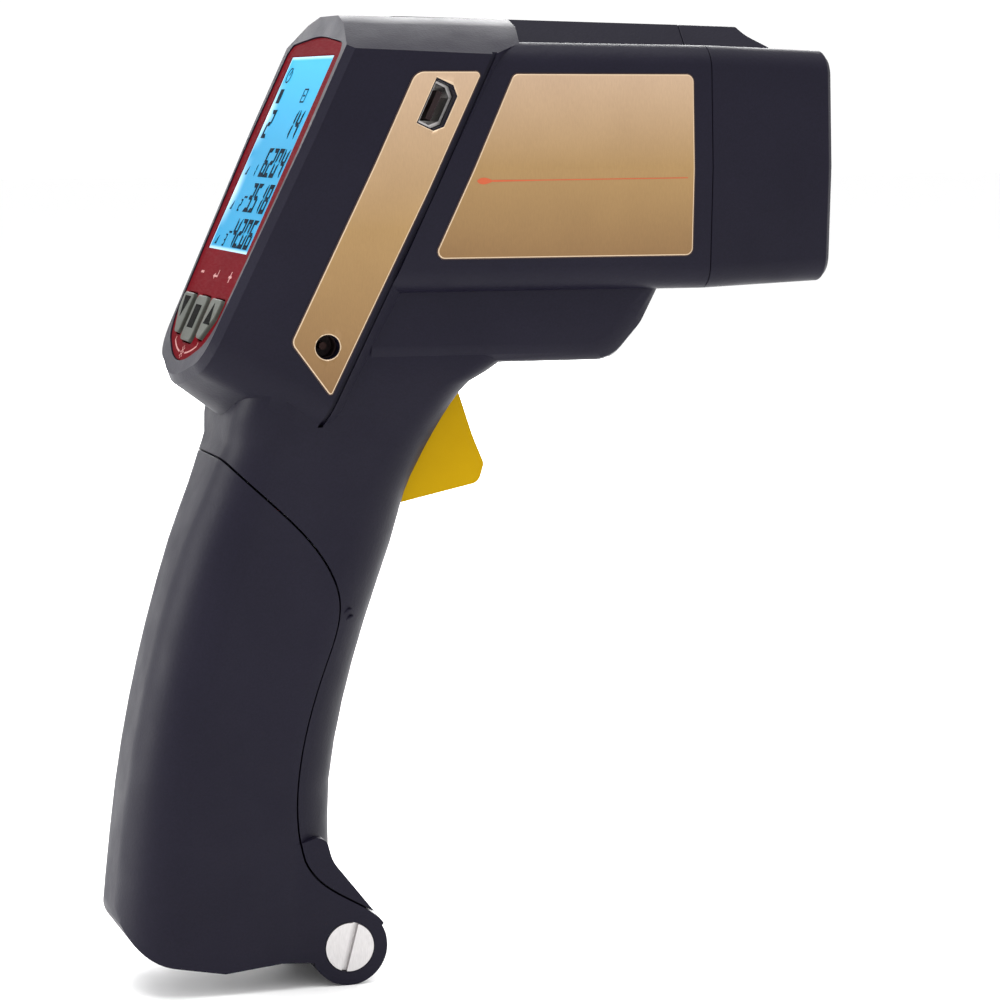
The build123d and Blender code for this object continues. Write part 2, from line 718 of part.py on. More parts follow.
def trigger_pin():
    return rod(PIVOT_X, PIVOT_Z, TRIGGER_PIN_R, (-TRIGGER_PIN_HALF, TRIGGER_PIN_HALF))


def trigger_spring():
    middle = HEEL_TOP + SPRING_LENGTH / 2
    tube = Cylinder(SPRING_R, SPRING_LENGTH - 0.1) - Cylinder(SPRING_R - SPRING_WALL, SPRING_LENGTH)
    return Pos(SPRING_X, 0, middle) * tube


def trigger_switch():
    height = (PLUNGER_Z - SWITCH_HALF, PLUNGER_Z + SWITCH_HALF)
    body = block((SWITCH_BACK, SWITCH_FRONT), (-SWITCH_HALF, SWITCH_HALF), height)
    bore_end = SWITCH_BACK + 1.2
    bore = Pos((bore_end + SWITCH_FRONT + 1) / 2, 0, PLUNGER_Z) * Rot(0, 90, 0)
    return body - bore * Cylinder(PLUNGER_R + 0.06, SWITCH_FRONT + 1 - bore_end)


def switch_plunger():
    tip = TRIGGER_BACK - PLUNGER_REACH
    middle = Pos(tip - PLUNGER_LENGTH / 2, 0, PLUNGER_Z)
    return middle * Rot(0, 90, 0) * Cylinder(PLUNGER_R, PLUNGER_LENGTH)


# Display stack


def bezel_plate():
    plate = on_face(bezel_outline(0), BEZEL_TOP - BEZEL_THICK, BEZEL_TOP)
    plate -= on_face(Rectangle(LCD_WIDTH, LCD_HEIGHT), -10, 10)
    for place in (-1, 0, 1):
        plate -= on_face(key_outline(place, 0.25), -10, 10)
    return plate


def display_window():
    lip = Rectangle(LCD_WIDTH + 2 * WINDOW_LIP[0], LCD_HEIGHT + 2 * WINDOW_LIP[1])
    low = BEZEL_TOP - BEZEL_THICK - 0.05
    plate = on_face(lip, low - WINDOW_LIP_THICK, low)
    return plate + on_face(Rectangle(LCD_WIDTH - PLAY, LCD_HEIGHT - PLAY), low - 0.2, 0)


def key_under():
    """Height of the keys' undersides, just behind the display plate."""
    return BEZEL_TOP - BEZEL_THICK - KEY_DROP


def key_middle(place, reach):
    return Pos(place * reach, KEY_ROW - KEY_LENGTH / 2 + 0.6)


def key(place):
    under = key_under()
    wide, high, long = KEY_STEM
    body = on_face(key_outline(place, 0), under, KEY_TOP)
    flange = key_outline(place, KEY_FLANGE) & bezel_outline(-LEDGE - BODY_GAP)
    body += on_face(flange, under - KEY_FLANGE_THICK, under)
    return body + on_face(key_middle(place, KEY_REACH) * Rectangle(wide, high), under - long, under - 0.5)


def key_mat():
    """Rubber sheet on the board with a dome under each key's stem."""
    low = KEY_ROW - KEY_LENGTH - 0.6
    high = KEY_ROW + 2.6
    top = key_under() - KEY_STEM[2] - KEY_TRAVEL - 0.25
    sheet = Pos(0, (low + high) / 2) * RectangleRounded(MAT_WIDE, high - low, 2)
    mat = on_face(sheet, BOARD_TOP + 0.02, BOARD_TOP + 1.0)
    for place in (-1, 0, 1):
        mat += on_face(key_middle(place, 0.94 * KEY_REACH) * Circle(DOME_R), BOARD_TOP + 0.9, top)
    return mat


def lcd_glass():
    sheet = Rectangle(LCD_WIDTH + 4.0, LCD_HEIGHT + 3.2)
    return on_face(sheet, GLASS_TOP - GLASS_THICK, GLASS_TOP)


def frame_room():
    """Room for the glass's frame, with the gap that it stands clear of the housing."""
    width, height, top = frame_size()
    gap = 2 * (FRAME_WALL + PLAY)
    return on_face(Rectangle(width + gap, height + gap), BOARD_TOP, top + PLAY / 2)


def frame_size():
    """Width and height inside the glass's frame, and the height of its lip."""
    return LCD_WIDTH + 4.2, LCD_HEIGHT + 3.4, BEZEL_TOP - BEZEL_THICK - 0.05 - WINDOW_LIP_THICK - 0.1


def lcd_frame():
    width, height, lip_top = frame_size()
    outer = Rectangle(width + 2 * FRAME_WALL, height + 2 * FRAME_WALL)
    walls = on_face(outer - Rectangle(width, height), BOARD_TOP + 0.02, lip_top)
    lip = on_face(outer - Rectangle(width - 1.6, height - 1.6), GLASS_TOP + 0.03, lip_top)
    return walls + lip


def backlight():
    sheet = Rectangle(LCD_WIDTH + 4.0, LCD_HEIGHT - 1.6)
    return on_face(sheet, BOARD_TOP + 0.03, GLASS_TOP - GLASS_THICK - 0.05)


def contact_strips():
    strips = []
    for side in BOTH_SIDES:
        strip = Pos(0, side * (LCD_HEIGHT / 2 + 0.5)) * Rectangle(LCD_WIDTH + 1, 1.8)
        strips.append(on_face(strip, BOARD_TOP + 0.02, GLASS_TOP - GLASS_THICK - 0.02))
    return strips


def display_board():
    high = LCD_HEIGHT / 2 + 5.9
    points = [(13.0, high), (17.0, high - 6.6), (17.0, KEY_ROW + 1.4), (12.5, KEY_ROW - KEY_LENGTH - 0.4)]
    points.append((0, KEY_ROW - KEY_LENGTH - 2.0))
    board = outline(points, [1, 1, 2, 2, 0])
    for across, along in board_post_places():
        board -= Pos(across, along) * Circle(SCREW_R)
    return on_face(board, BOARD_TOP - BOARD_THICK, BOARD_TOP)


def board_screws():
    screws = []
    for across, along in board_post_places():
        low = BOARD_TOP - BOARD_THICK
        head = on_face(Pos(across, along) * Circle(1.7), low - 1.0, low - 0.01)
        shank = on_face(Pos(across, along) * Circle(SCREW_R - 0.3), low - 0.5, RIM_HEIGHT - FACE_WALL - 0.2)
        screws.append(head + shank)
    return screws


# Main board and its parts


def main_board():
    u_high, u_low = 22.0, -34.0
    near, far = -10.5, -20.5
    points = [on_display(u_high, near), on_display(u_low, near)]
    points += [on_display(u_low, far), on_display(-6.0, far)]
    points += [(27.0, 129.4), (27.0, 157.0), (-8.0, 157.0)]
    face = make_face(Polyline(*points, close=True))
    return extrude(Plane.XZ.offset(-MAIN_BOARD_Y) * face, BOARD_THICK)


def board_face():
    return MAIN_BOARD_Y - BOARD_THICK


def usb_shell():
    mouth, back = -side_at(USB_ALONG) + USB_RECESS, board_face() - 0.02
    return usb_prism(0, (mouth, back)) - usb_prism(-USB_WALL, (mouth - 1, back - 0.6))


def usb_tongue():
    low = -side_at(USB_ALONG) + USB_RECESS + 0.8
    left, right, near, far = USB_TONGUE
    points = [(left, far), (right, far), (right, near), (left, near)]
    places = [on_display(USB_ALONG + u, SOCKET_DEPTH + n) for u, n in points]
    high = board_face() - 0.62
    return extrude(Plane.XZ.offset(-high) * make_face(Polyline(*places, close=True)), high - low)


def side_at(along):
    """Half-width of the head's side at the sockets, this far up the display."""
    slope = (FACE_HALF - COLLAR_HALF) / (RIM_HEIGHT + COLLAR_DEPTH)
    half = COLLAR_HALF + slope * (SOCKET_DEPTH + COLLAR_DEPTH)
    return half + min(0, (along - SHIELD_BEND) * SHIELD_DRAW / (SHIELD_BEND - SHIELD_FOOT))


def dc_socket():
    x, z = dc_place()
    outer = -side_at(DC_ALONG) + WALL + DC_SETBACK
    body = rod(x, z, DC_BODY_R, (outer, board_face() - 0.02))
    return body - rod(x, z, DC_R, (outer - 1, board_face() - 0.8))


def dc_pin():
    x, z = dc_place()
    outer = -side_at(DC_ALONG) + WALL + DC_SETBACK
    return rod(x, z, DC_PIN_R, (outer + 0.4, board_face() - 0.82))


def board_chips():
    chips = []
    y = (MAIN_BOARD_Y + 0.02, MAIN_BOARD_Y + CHIP_THICK)
    for x, z, wide, high in CHIPS:
        chips.append(block((x - wide / 2, x + wide / 2), y, (z - high / 2, z + high / 2)))
    return chips


def buzzer():
    x, z, radius, high = BUZZER
    return rod(x, z, radius, (MAIN_BOARD_Y + 0.02, MAIN_BOARD_Y + high))


def ribbon_cable():
    """Flat cable from the display board round to the main board's inner face."""
    low = BOARD_TOP - BOARD_THICK - 0.1
    across = -MAIN_BOARD_Y - 0.25
    path = FilletPolyline((2.0, low), (2.0, -12.6), (across, -15.4), (across, -20.0), radius=[2.0, 1.5])
    strip = trace(path, CABLE_THICK)
    plane = Plane(origin=DISPLAY.origin, x_dir=DISPLAY.x_dir, z_dir=-DISPLAY.y_dir)
    return extrude(plane.offset(4.0) * strip, CABLE_WIDE)


# Optics


def nose():
    back = SEAM_X - WALL - PLAY
    front = SEAM_X + NOSE_REACH
    high = NOSE_HALF
    flange = high + NOSE_FLANGE
    body = block((back - NOSE_FLANGE_THICK, back), (-flange, flange), (AXIS_Z - flange, AXIS_Z + flange))
    body += block((back - 0.5, front), (-high, high), (AXIS_Z - high, AXIS_Z + high))
    room = high - NOSE_WALL
    body -= block((back - 10, front - NOSE_FRONT_WALL), (-room, room), (AXIS_Z - room, AXIS_Z + room))
    return body - axial(PORT_R, (front - 10, front + 1))


def nose_window():
    back = SEAM_X + NOSE_REACH - NOSE_FRONT_WALL
    return axial(PORT_R + 3, (back - 1.25, back - 0.05))


def tube_front():
    return SEAM_X + TUBE_REACH


def optics_tube():
    bore = axial(TUBE_R - TUBE_WALL, (TUBE_REAR - 1, tube_front() + 1))
    return axial(TUBE_R, (TUBE_REAR, tube_front())) - bore


def collecting_lens():
    """Flat-backed lens whose front bulges forward."""
    radius = TUBE_R - TUBE_WALL - LENS_FIT
    back = tube_front() - LENS_SETBACK
    front = back + LENS_THICK
    edge = front - LENS_CURVE + sqrt(LENS_CURVE**2 - radius**2)
    middle = front - LENS_CURVE + sqrt(LENS_CURVE**2 - radius**2 / 4)
    sides = Polyline((front, AXIS_Z), (back, AXIS_Z), (back, AXIS_Z + radius), (edge, AXIS_Z + radius))
    dome = ThreePointArc((edge, AXIS_Z + radius), (middle, AXIS_Z + radius / 2), (front, AXIS_Z))
    return revolve(Plane.XZ * make_face([sides, dome]), Axis((0, 0, AXIS_Z), (1, 0, 0)))


def lamp_board():
    back = SEAM_X + LAMP_BOARD_SETBACK
    ring = axial(NOSE_HALF - NOSE_WALL - 0.3, (back, back + LAMP_BOARD_THICK))
    return ring - axial(TUBE_R + 0.2, (back - 1, back + 3))


def lamps():
    """Ring of round-topped lamps on their board."""
    found = []
    face = SEAM_X + LAMP_BOARD_SETBACK + LAMP_BOARD_THICK + 0.02
    top = face + LAMP_LONG
    ring = (TUBE_R + NOSE_HALF - NOSE_WALL) / 2
    for number in range(LAMP_COUNT):
        lamp = Pos(face + LAMP_LONG / 2, 0, 0) * Rot(0, 90, 0) * Cylinder(LAMP_R, LAMP_LONG)
        lamp += Pos(top, 0, 0) * Sphere(LAMP_R) & block((top - 0.1, top + 7), (-5, 5), (-5, 5))
        found.append(Pos(0, 0, AXIS_Z) * Rot(360 / LAMP_COUNT * number, 0, 0) * Pos(0, 0, ring) * lamp)
    return found


def sensor_board():
    high = SENSOR_BOARD_HALF
    front = TUBE_REAR - 0.1
    return block((front - BOARD_THICK, front), (-high, high), (AXIS_Z - high, AXIS_Z + high))


def colour_sensor():
    high = SENSOR_HALF
    return block((TUBE_REAR - 0.08, TUBE_REAR + SENSOR_THICK), (-high, high), (AXIS_Z - high, AXIS_Z + high))


# Battery group


def battery_form(grow):
    """Battery's block with rounded long edges, grown by a gap on every side."""
    deep, wide = BATTERY_DEEP / 2 + grow, BATTERY_WIDE / 2 + grow
    body = battery_block((-deep, deep), (-wide, wide), (-grow, BATTERY_LONG + grow))
    long_edges = body.edges().filter_by(lambda edge: edge.tangent_at(0).cross(battery_up()).length < 0.01)
    return fillet(long_edges, BATTERY_CORNER + grow)


def battery_up():
    """Direction up the battery's length."""
    return battery_at(0, 0, 1).position - battery_at(0, 0, 0).position


def battery():
    return battery_form(0)


def terminal_sizes():
    small, large = TERMINAL_R
    return ((-TERMINAL_SPACING / 2, small), (TERMINAL_SPACING / 2, large))


def battery_terminals():
    studs = []
    for x, radius in terminal_sizes():
        bore = Pos(0, 0, 0.5) * Cylinder(radius - TERMINAL_WALL, TERMINAL_HEIGHT)
        stud = Cylinder(radius, TERMINAL_HEIGHT) - bore
        studs.append(battery_at(x, 0, BATTERY_LONG + TERMINAL_HEIGHT / 2 + 0.01) * stud)
    return studs


def battery_snap():
    low, high = (BATTERY_LONG + reach for reach in SNAP_SPAN)
    deep, wide = SNAP_HALF
    body = battery_block((-deep, deep), (-wide, wide), (low, high))
    for x, radius in terminal_sizes():
        body -= battery_at(x, 0, low) * Cylinder(radius + 0.08, 3.2)
    return body


def front_corners(body):
    """Two long edges at the front of a block in the battery's frame."""
    edges = body.edges().filter_by(lambda edge: edge.tangent_at(0).cross(battery_up()).length < 0.01)
    return edges.sort_by(Axis.X)[-2:]


def tray_form(grow):
    """Tray's outer block with its front corners rounded, grown by a gap."""
    deep, wide = BATTERY_DEEP / 2 + BODY_GAP, BATTERY_WIDE / 2 + BODY_GAP + TRAY_WALL + grow
    low = -BODY_GAP - TRAY_WALL - grow
    front_back = (TRAY_REACH - deep - grow, tray_front() + grow)
    body = battery_block(front_back, (-wide, wide), (low, TRAY_HEIGHT + grow))
    return fillet(front_corners(body), TRAY_CORNER + grow)


def battery_tray():
    deep, wide = BATTERY_DEEP / 2 + BODY_GAP, BATTERY_WIDE / 2 + BODY_GAP
    room = battery_block((-HIDDEN, deep), (-wide, wide), (-BODY_GAP, HIDDEN))
    return tray_form(0) - fillet(front_corners(room), BATTERY_CORNER + BODY_GAP)


def battery_pad():
    """Foam strip inside the cover that steadies the battery."""
    deep = BATTERY_DEEP / 2 + BODY_GAP
    strip = battery_block((-deep - 6, -deep), (-PAD_HALF, PAD_HALF), PAD_SPAN)
    return strip & grip(WALL + PLAY)


def lead(offset):
    """Battery lead clipped along the case from the snap to the main board."""
    start = battery_at(3.0 + offset, -2.0, BATTERY_LONG + 4.45).position
    end_y = MAIN_BOARD_Y + LEAD_R + 0.15
    points = [
        (start.X, start.Y, start.Z),
        (start.X + 0.7, start.Y, start.Z + 7),
        (-33.0 + offset, -4.0, 84.0),
        (-31.6 + offset, end_y, 99.0),
        (-31.4 + offset, end_y, 108.5 - offset * 0.5),
    ]
    path = FilletPolyline(*points, radius=[5, 8, 6])
    return sweep(Plane(origin=path @ 0, z_dir=path % 0) * Circle(LEAD_R), path=path)


# Hinge, screws and labels


def hinge_screw():
    end = TOE_HALF - HINGE_HEAD - 1.0
    body = rod(HINGE_X, HINGE_Z, HINGE_PIN_R, (-TOE_HALF + 0.5, end))
    body += rod(HINGE_X, HINGE_Z, HINGE_HEAD_R, (-TOE_HALF - 0.1, -TOE_HALF - 0.1 + HINGE_HEAD))
    slot = Rot(0, HINGE_SLOT_TURN, 0) * Box(HINGE_SLOT, 1.8, 20)
    return body - Pos(HINGE_X, -TOE_HALF - 0.1, HINGE_Z) * slot


def hinge_nut():
    start = TOE_HALF - HINGE_HEAD
    body = rod(HINGE_X, HINGE_Z, HINGE_HEAD_R, (start, TOE_HALF + 0.1))
    return body - rod(HINGE_X, HINGE_Z, HINGE_PIN_R + 0.02, (start - 1, start + 0.6))


def housing_screws():
    screws = []
    cross = Box(CROSS_LONG, 2.0, CROSS_WIDE) + Box(CROSS_WIDE, 2.0, CROSS_LONG)
    for x, z, seat in CASE_SCREWS:
        shank = rod(x, z, SCREW_R, (-SCREW_BITE, seat + 0.5))
        head = rod(x, z, SCREW_HEAD_R, (seat + 0.02, seat + SCREW_HEAD))
        screws.append(shank + head - Pos(x, seat + SCREW_HEAD, z) * cross)
    return screws


def label_skin(outer, bare, points, radii, side):
    """Thin label on the body's side inside an outline of (x, z) points."""
    face = Plane.XZ * make_face(FilletPolyline(*points, radius=radii, close=True))
    reach = extrude(face, -side * HIDDEN / 4)
    return (outer & reach) - bare


def strip_points():
    """Gold strip along the groove, cut to a point at its foot."""
    near, far = STRIP_DEPTHS
    top_near, top_far = STRIP_TOPS
    foot_near, foot_far = STRIP_FEET
    places = [(top_near, near), (top_far, far), (foot_far, far + 0.3), (foot_near, near)]
    return [on_display(along, out) for along, out in places]


def strip_label(side, bare):
    skin = label_skin(collar(-LABEL_THICK, -4.0), bare, strip_points(), STRIP_RADII, side)
    if side > 0:
        return skin
    x, z = dc_place()
    skin -= usb_prism(0.35, (-HIDDEN / 4, 0))
    return skin - rod(x, z, DC_R + 0.3, (-HIDDEN / 4, 0))


def barrel_label(side, bare):
    return label_skin(barrel(-LABEL_THICK), bare, BARREL_LABEL, BARREL_LABEL_R, side)


def build():
    """Every part by name."""
    solid = outer_form()
    shell = hollow(solid)
    return {
        "right_housing": housing(shell, solid, -1),
        "left_housing": housing(shell, solid, 1),
        "battery_cover": battery_cover(shell),
        "front_cap": front_cap(),
        "white_tile": white_tile(),
        "trigger": trigger(),
        "trigger_pin": trigger_pin(),
        "trigger_spring": trigger_spring(),
        "trigger_switch": trigger_switch(),
        "switch_plunger": switch_plunger(),
        "bezel_plate": bezel_plate(),
        "display_window": display_window(),
        "key_down": key(-1),
        "key_centre": key(0),
        "key_up": key(1),
        "key_mat": key_mat(),
        "lcd_glass": lcd_glass(),
        "lcd_frame": lcd_frame(),
        "backlight": backlight(),
        "contact_strips": contact_strips(),
        "display_board": display_board(),
        "board_screws": board_screws(),
        "main_board": main_board(),
        "usb_shell": usb_shell(),
        "usb_tongue": usb_tongue(),
        "dc_socket": dc_socket(),
        "dc_pin": dc_pin(),
        "board_chips": board_chips(),
        "buzzer": buzzer(),
        "ribbon_cable": ribbon_cable(),
        "nose": nose(),
        "nose_window": nose_window(),
        "optics_tube": optics_tube(),
        "collecting_lens": collecting_lens(),
        "lamp_board": lamp_board(),
        "lamps": lamps(),
        "sensor_board": sensor_board(),
        "colour_sensor": colour_sensor(),
        "battery": battery(),
        "battery_terminals": battery_terminals(),
        "battery_snap": battery_snap(),
        "battery_tray": battery_tray(),
        "battery_pad": battery_pad(),
        "battery_lead_red": lead(0),
        "battery_lead_black": lead(2.4),
        "hinge_screw": hinge_screw(),
        "hinge_nut": hinge_nut(),
        "housing_screws": housing_screws(),
        "right_strip_label": strip_label(-1, solid),
        "left_strip_label": strip_label(1, solid),
        "right_barrel_label": barrel_label(-1, solid),
        "left_barrel_label": barrel_label(1, solid),
    }


if __name__ == "__main__":
    os.makedirs("parts", exist_ok=True)
    for name, shape in build().items():
        if isinstance(shape, list):
            shape = Compound(children=[solid for piece in shape for solid in piece.solids()])
        export_step(shape, f"parts/{name}.step")
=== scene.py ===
"""Looks of a handheld color analyzer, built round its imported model."""

import logging
import math
from dataclasses import dataclass, field
from enum import Enum
from typing import Sequence

import bmesh
import bpy
import numpy as np
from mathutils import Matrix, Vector
from mathutils.bvhtree import BVHTree


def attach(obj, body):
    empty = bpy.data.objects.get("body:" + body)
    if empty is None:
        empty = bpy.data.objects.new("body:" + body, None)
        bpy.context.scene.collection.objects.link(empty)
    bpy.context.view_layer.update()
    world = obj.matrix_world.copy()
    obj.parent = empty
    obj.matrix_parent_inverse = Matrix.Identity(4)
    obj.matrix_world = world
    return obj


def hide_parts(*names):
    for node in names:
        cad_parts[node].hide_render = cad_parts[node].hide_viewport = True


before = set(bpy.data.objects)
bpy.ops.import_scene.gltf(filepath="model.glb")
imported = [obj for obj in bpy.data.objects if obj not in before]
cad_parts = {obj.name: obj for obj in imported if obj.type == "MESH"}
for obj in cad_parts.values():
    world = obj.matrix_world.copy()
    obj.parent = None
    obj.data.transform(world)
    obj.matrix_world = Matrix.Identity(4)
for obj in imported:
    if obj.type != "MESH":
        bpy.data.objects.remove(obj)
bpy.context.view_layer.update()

MM = 0.001
LOG = logging.getLogger("color_analyzer")
NOISE_RANGE = (0.3, 0.7)
UP = (0.0, 0.0, 1.0)
Colour = tuple[float, float, float]
Socket = bpy.types.NodeSocket


class Body(Enum):
    """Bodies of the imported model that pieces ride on."""

    CASE = "case"
    TRIGGER = "trigger"
    KEY_DOWN = "key_down_body"
    KEY_CENTRE = "key_centre_body"
    KEY_UP = "key_up_body"
    COVER = "cover"
    CAP = "cap"


class Side(Enum):
    """Sides of the instrument as its holder sees them, valued by the sign of y."""

    RIGHT = -1
    LEFT = 1


class Segment(Enum):
    """Strokes of a seven-stroke figure, valued by the letter that a figure's list of strokes has for each."""

    TOP = "a"
    UPPER_RIGHT = "b"
    LOWER_RIGHT = "c"
    FOOT = "d"
    LOWER_LEFT = "e"
    UPPER_LEFT = "f"
    MIDDLE = "g"


class Shader:
    """Short way to wire one material's nodes."""

    def __init__(self, name: str) -> None:
        """Starts a material with one Principled shader.

        Args:
            name: The material's name.
        """
        self.material = bpy.data.materials.new(name)
        self.material.use_nodes = True
        self.nodes = self.material.node_tree.nodes
        self.links = self.material.node_tree.links
        self.surface = self.nodes["Principled BSDF"]
        self.where = self.nodes.new("ShaderNodeTexCoord").outputs["Object"]

    def feed(self, socket: Socket, value: object) -> None:
        """Links a node's output to a socket, or writes a number or colour on it."""
        if isinstance(value, bpy.types.NodeSocket):
            self.links.new(value, socket)
        elif isinstance(value, tuple) and len(value) < len(socket.default_value):
            socket.default_value = (*value, 1.0)
        else:
            socket.default_value = value

    def put(self, **values: object) -> None:
        """Feeds the Principled shader's own sockets, named with underscores for spaces."""
        for name, value in values.items():
            self.feed(self.surface.inputs[name.replace("_", " ")], value)

    def node(
        self, kind: str, output: str | int, inputs: dict[str | int, object], **settings: object
    ) -> Socket:
        """Adds a node, settled and fed, and gives one of its outputs.

        Args:
            kind: The node's type, without its usual prefix.
            output: The output's name or number.
            inputs: What each named or numbered input is fed.
            settings: The node's own choices.

        Returns:
            The output.
        """
        node = self.nodes.new(f"ShaderNode{kind}")
        for name, choice in settings.items():
            setattr(node, name, choice)
        for place, value in inputs.items():
            self.feed(node.inputs[place], value)
        return node.outputs[output]

    def math(self, operation: str, first: object, second: object = 0.0) -> Socket:
        """One sum, product or other operation on two numbers."""
        return self.node("Math", 0, {0: first, 1: second}, operation=operation)

    def along(self, direction: Colour, origin: Colour = (0.0, 0.0, 0.0)) -> Socket:
        """Distance of the shaded point from an origin, measured along a direction, in millimetres."""
        start = tuple(value * MM for value in origin)
        scaled = tuple(value / MM for value in direction)
        offset = self.node("VectorMath", "Vector", {0: self.where, 1: start}, operation="SUBTRACT")
        return self.node("VectorMath", "Value", {0: offset, 1: scaled}, operation="DOT_PRODUCT")

    def stretch(self, scale: Colour) -> Socket:
        """Object coordinates multiplied by a scale along each axis."""
        return self.node("Mapping", "Vector", {"Scale": scale, "Vector": self.where})

    def noise(self, scale: float, detail: float = 3.0, vector: Socket | None = None) -> Socket:
        """Noise with this many features to a metre."""
        inputs = {"Scale": scale, "Detail": detail, "Vector": vector or self.where}
        return self.node("TexNoise", "Fac", inputs)

    def cells(self, scale: float) -> Socket:
        """Distance to the nearest of scattered points, for pits, grains and tracks."""
        return self.node("TexVoronoi", "Distance", {"Scale": scale, "Vector": self.where})

    def attribute(self, name: str) -> Socket:
        """The piece's own number of this name."""
        return self.node("Attribute", "Fac", {}, attribute_name=name)

    def remap(self, value: Socket, low: float, high: float, start: float = 0.0, end: float = 1.0) -> Socket:
        """Value carried from the range low to high to the range start to end."""
        return self.node("MapRange", "Result", dict(enumerate((value, low, high, start, end))))

    def spread(self, noise: Socket, start: float = 0.0, end: float = 1.0) -> Socket:
        """Noise's middle range, where nearly all of it lies, carried to the range start to end."""
        return self.remap(noise, *NOISE_RANGE, start, end)

    def ramp(self, value: Socket, stops: Sequence[tuple[float, Colour]], stepped: bool = False) -> Socket:
        """Colour read from a row of stops, in steps or blended."""
        node = self.nodes.new("ShaderNodeValToRGB")
        node.color_ramp.interpolation = "CONSTANT" if stepped else "LINEAR"
        elements = node.color_ramp.elements
        while len(elements) < len(stops):
            elements.new(0.5)
        for element, (place, colour) in zip(elements, stops):
            element.position = place
            element.color = (*colour, 1.0)
        self.feed(node.inputs["Fac"], value)
        return node.outputs["Color"]

    def mix(self, factor: object, first: object, second: object, kind: str = "MIX") -> Socket:
        """Two colours mixed by a factor."""
        return self.node("Mix", 2, {0: factor, 6: first, 7: second}, data_type="RGBA", blend_type=kind)

    def dapple(
        self, tone: Socket, noise: Socket, dimmest: Colour, ends: tuple[float, float] = (0.35, 0.65)
    ) -> Socket:
        """A tone dimmed where a noise is low, down to a share of itself."""
        grey = self.ramp(noise, [(ends[0], dimmest), (ends[1], (1.0, 1.0, 1.0))])
        return self.mix(1.0, tone, grey, "MULTIPLY")

    def bump(self, height: Socket, depth: float, strength: float = 1.0) -> None:
        """Roughens the surface by a height this many millimetres deep, on top of any bump before it."""
        inputs = {"Strength": strength, "Distance": depth * MM, "Height": height}
        normal = self.surface.inputs["Normal"]
        if normal.links:
            inputs["Normal"] = normal.links[0].from_socket
        self.feed(normal, self.node("Bump", "Normal", inputs))


@dataclass(frozen=True)
class Finish:
    """What every finish has: a name, and the way that its shader is wired."""

    name: str

    def wire(self, shader: Shader) -> None:
        """Wires the finish's pattern to its shader."""
        raise NotImplementedError

    def material(self) -> bpy.types.Material:
        """The finish's new material."""
        shader = Shader(self.name)
        self.wire(shader)
        return shader.material


@dataclass(frozen=True)
class Moulded(Finish):
    """Moulded plastic or rubber with a fine spark-eroded skin."""

    dark: Colour
    light: Colour
    roughness: tuple[float, float] = (0.45, 0.6)
    grain: float = 2600.0
    depth: float = 0.03
    specular: float = 0.5

    def wire(self, shader: Shader) -> None:
        """Wires broad tone, fine specks, pits and handling marks in its gloss.

        Args:
            shader: The shader to wire.
        """
        fine = shader.noise(self.grain, 2.0)
        tone = shader.ramp(shader.spread(shader.noise(45.0, 4.0)), [(0.0, self.dark), (1.0, self.light)])
        shader.put(Base_Color=shader.dapple(tone, fine, (0.86, 0.86, 0.86)))
        shader.put(Roughness=shader.remap(shader.noise(140.0, 5.0), 0.25, 0.75, *self.roughness))
        shader.put(Specular_IOR_Level=self.specular)
        shader.bump(fine, self.depth, 0.7)
        shader.bump(shader.cells(self.grain * 0.6), self.depth * 0.6, 0.5)


@dataclass(frozen=True)
class Gloss(Finish):
    """Smooth coloured plastic, ink or lacquer with a slight waviness and fine scuffs."""

    base: Colour
    shade: Colour
    roughness: tuple[float, float] = (0.28, 0.4)
    specular: float = 0.5

    def wire(self, shader: Shader) -> None:
        """Wires two close tones, scuffed gloss and a faint ripple.

        Args:
            shader: The shader to wire.
        """
        broad = shader.spread(shader.noise(70.0, 4.0))
        scuffs = shader.noise(500.0, 6.0, shader.stretch((1.0, 1.0, 6.0)))
        shader.put(Base_Color=shader.ramp(broad, [(0.0, self.shade), (1.0, self.base)]))
        shader.put(Roughness=shader.spread(scuffs, *self.roughness))
        shader.put(Specular_IOR_Level=self.specular)
        shader.bump(shader.noise(900.0, 2.0), 0.01, 0.6)


@dataclass(frozen=True)
class GoldFoil(Finish):
    """Gold foil label coloured with painted light: a painted reflection, pale at its top and deeper below, a
    painted highlight along its cut edge, and painted shadow on a dark band round it.
    """

    low: float
    high: float
    pale: Colour = (0.51, 0.355, 0.235)
    middle: Colour = (0.35, 0.212, 0.080)
    deep: Colour = (0.205, 0.108, 0.036)
    # Colour of the painted highlight along the cut edge and round the holes.
    edge: Colour = (0.60, 0.45, 0.30)
    # Colour of the painted shadow on the band round the label.
    painted_shadow_band: Colour = (0.03, 0.012, 0.01)
    edge_width: float = 0.14
    fade: float = 0.04
    metallic: float = 0.25
    roughness: tuple[float, float] = (0.34, 0.44)

    def wire(self, shader: Shader) -> None:
        """Wires a painted reflection that pales with height, fine brushed grain, and by the distance from the
        cut edge a band of painted highlight inside it and painted shadow outside it.

        Args:
            shader: The shader to wire.
        """
        # Colour that pales with height: painted reflection of the light from above.
        height = shader.remap(shader.along(UP), self.low, self.high)
        tone = shader.ramp(height, [(0.0, self.deep), (0.5, self.middle), (1.0, self.pale)])
        grain = shader.noise(5200.0, 2.0, shader.stretch((1.0, 1.0, 0.2)))
        tone = shader.dapple(tone, grain, (0.93, 0.93, 0.93), NOISE_RANGE)
        tone = shader.dapple(tone, shader.noise(60.0, 2.0), (0.93, 0.92, 0.92))
        distance = shader.attribute("edge_distance")
        # Painted highlight in a band just inside the cut edge; painted shadow on the band outside it.
        inside = shader.remap(distance, self.edge_width, self.edge_width + self.fade)
        on_label = shader.remap(distance, -self.fade, 0.0)
        colour = shader.mix(on_label, self.painted_shadow_band, shader.mix(inside, self.edge, tone))
        shader.put(Base_Color=colour, Metallic=self.metallic)
        shader.put(Roughness=shader.spread(shader.noise(300.0, 4.0), *self.roughness))
        shader.bump(grain, 0.008, 0.5)


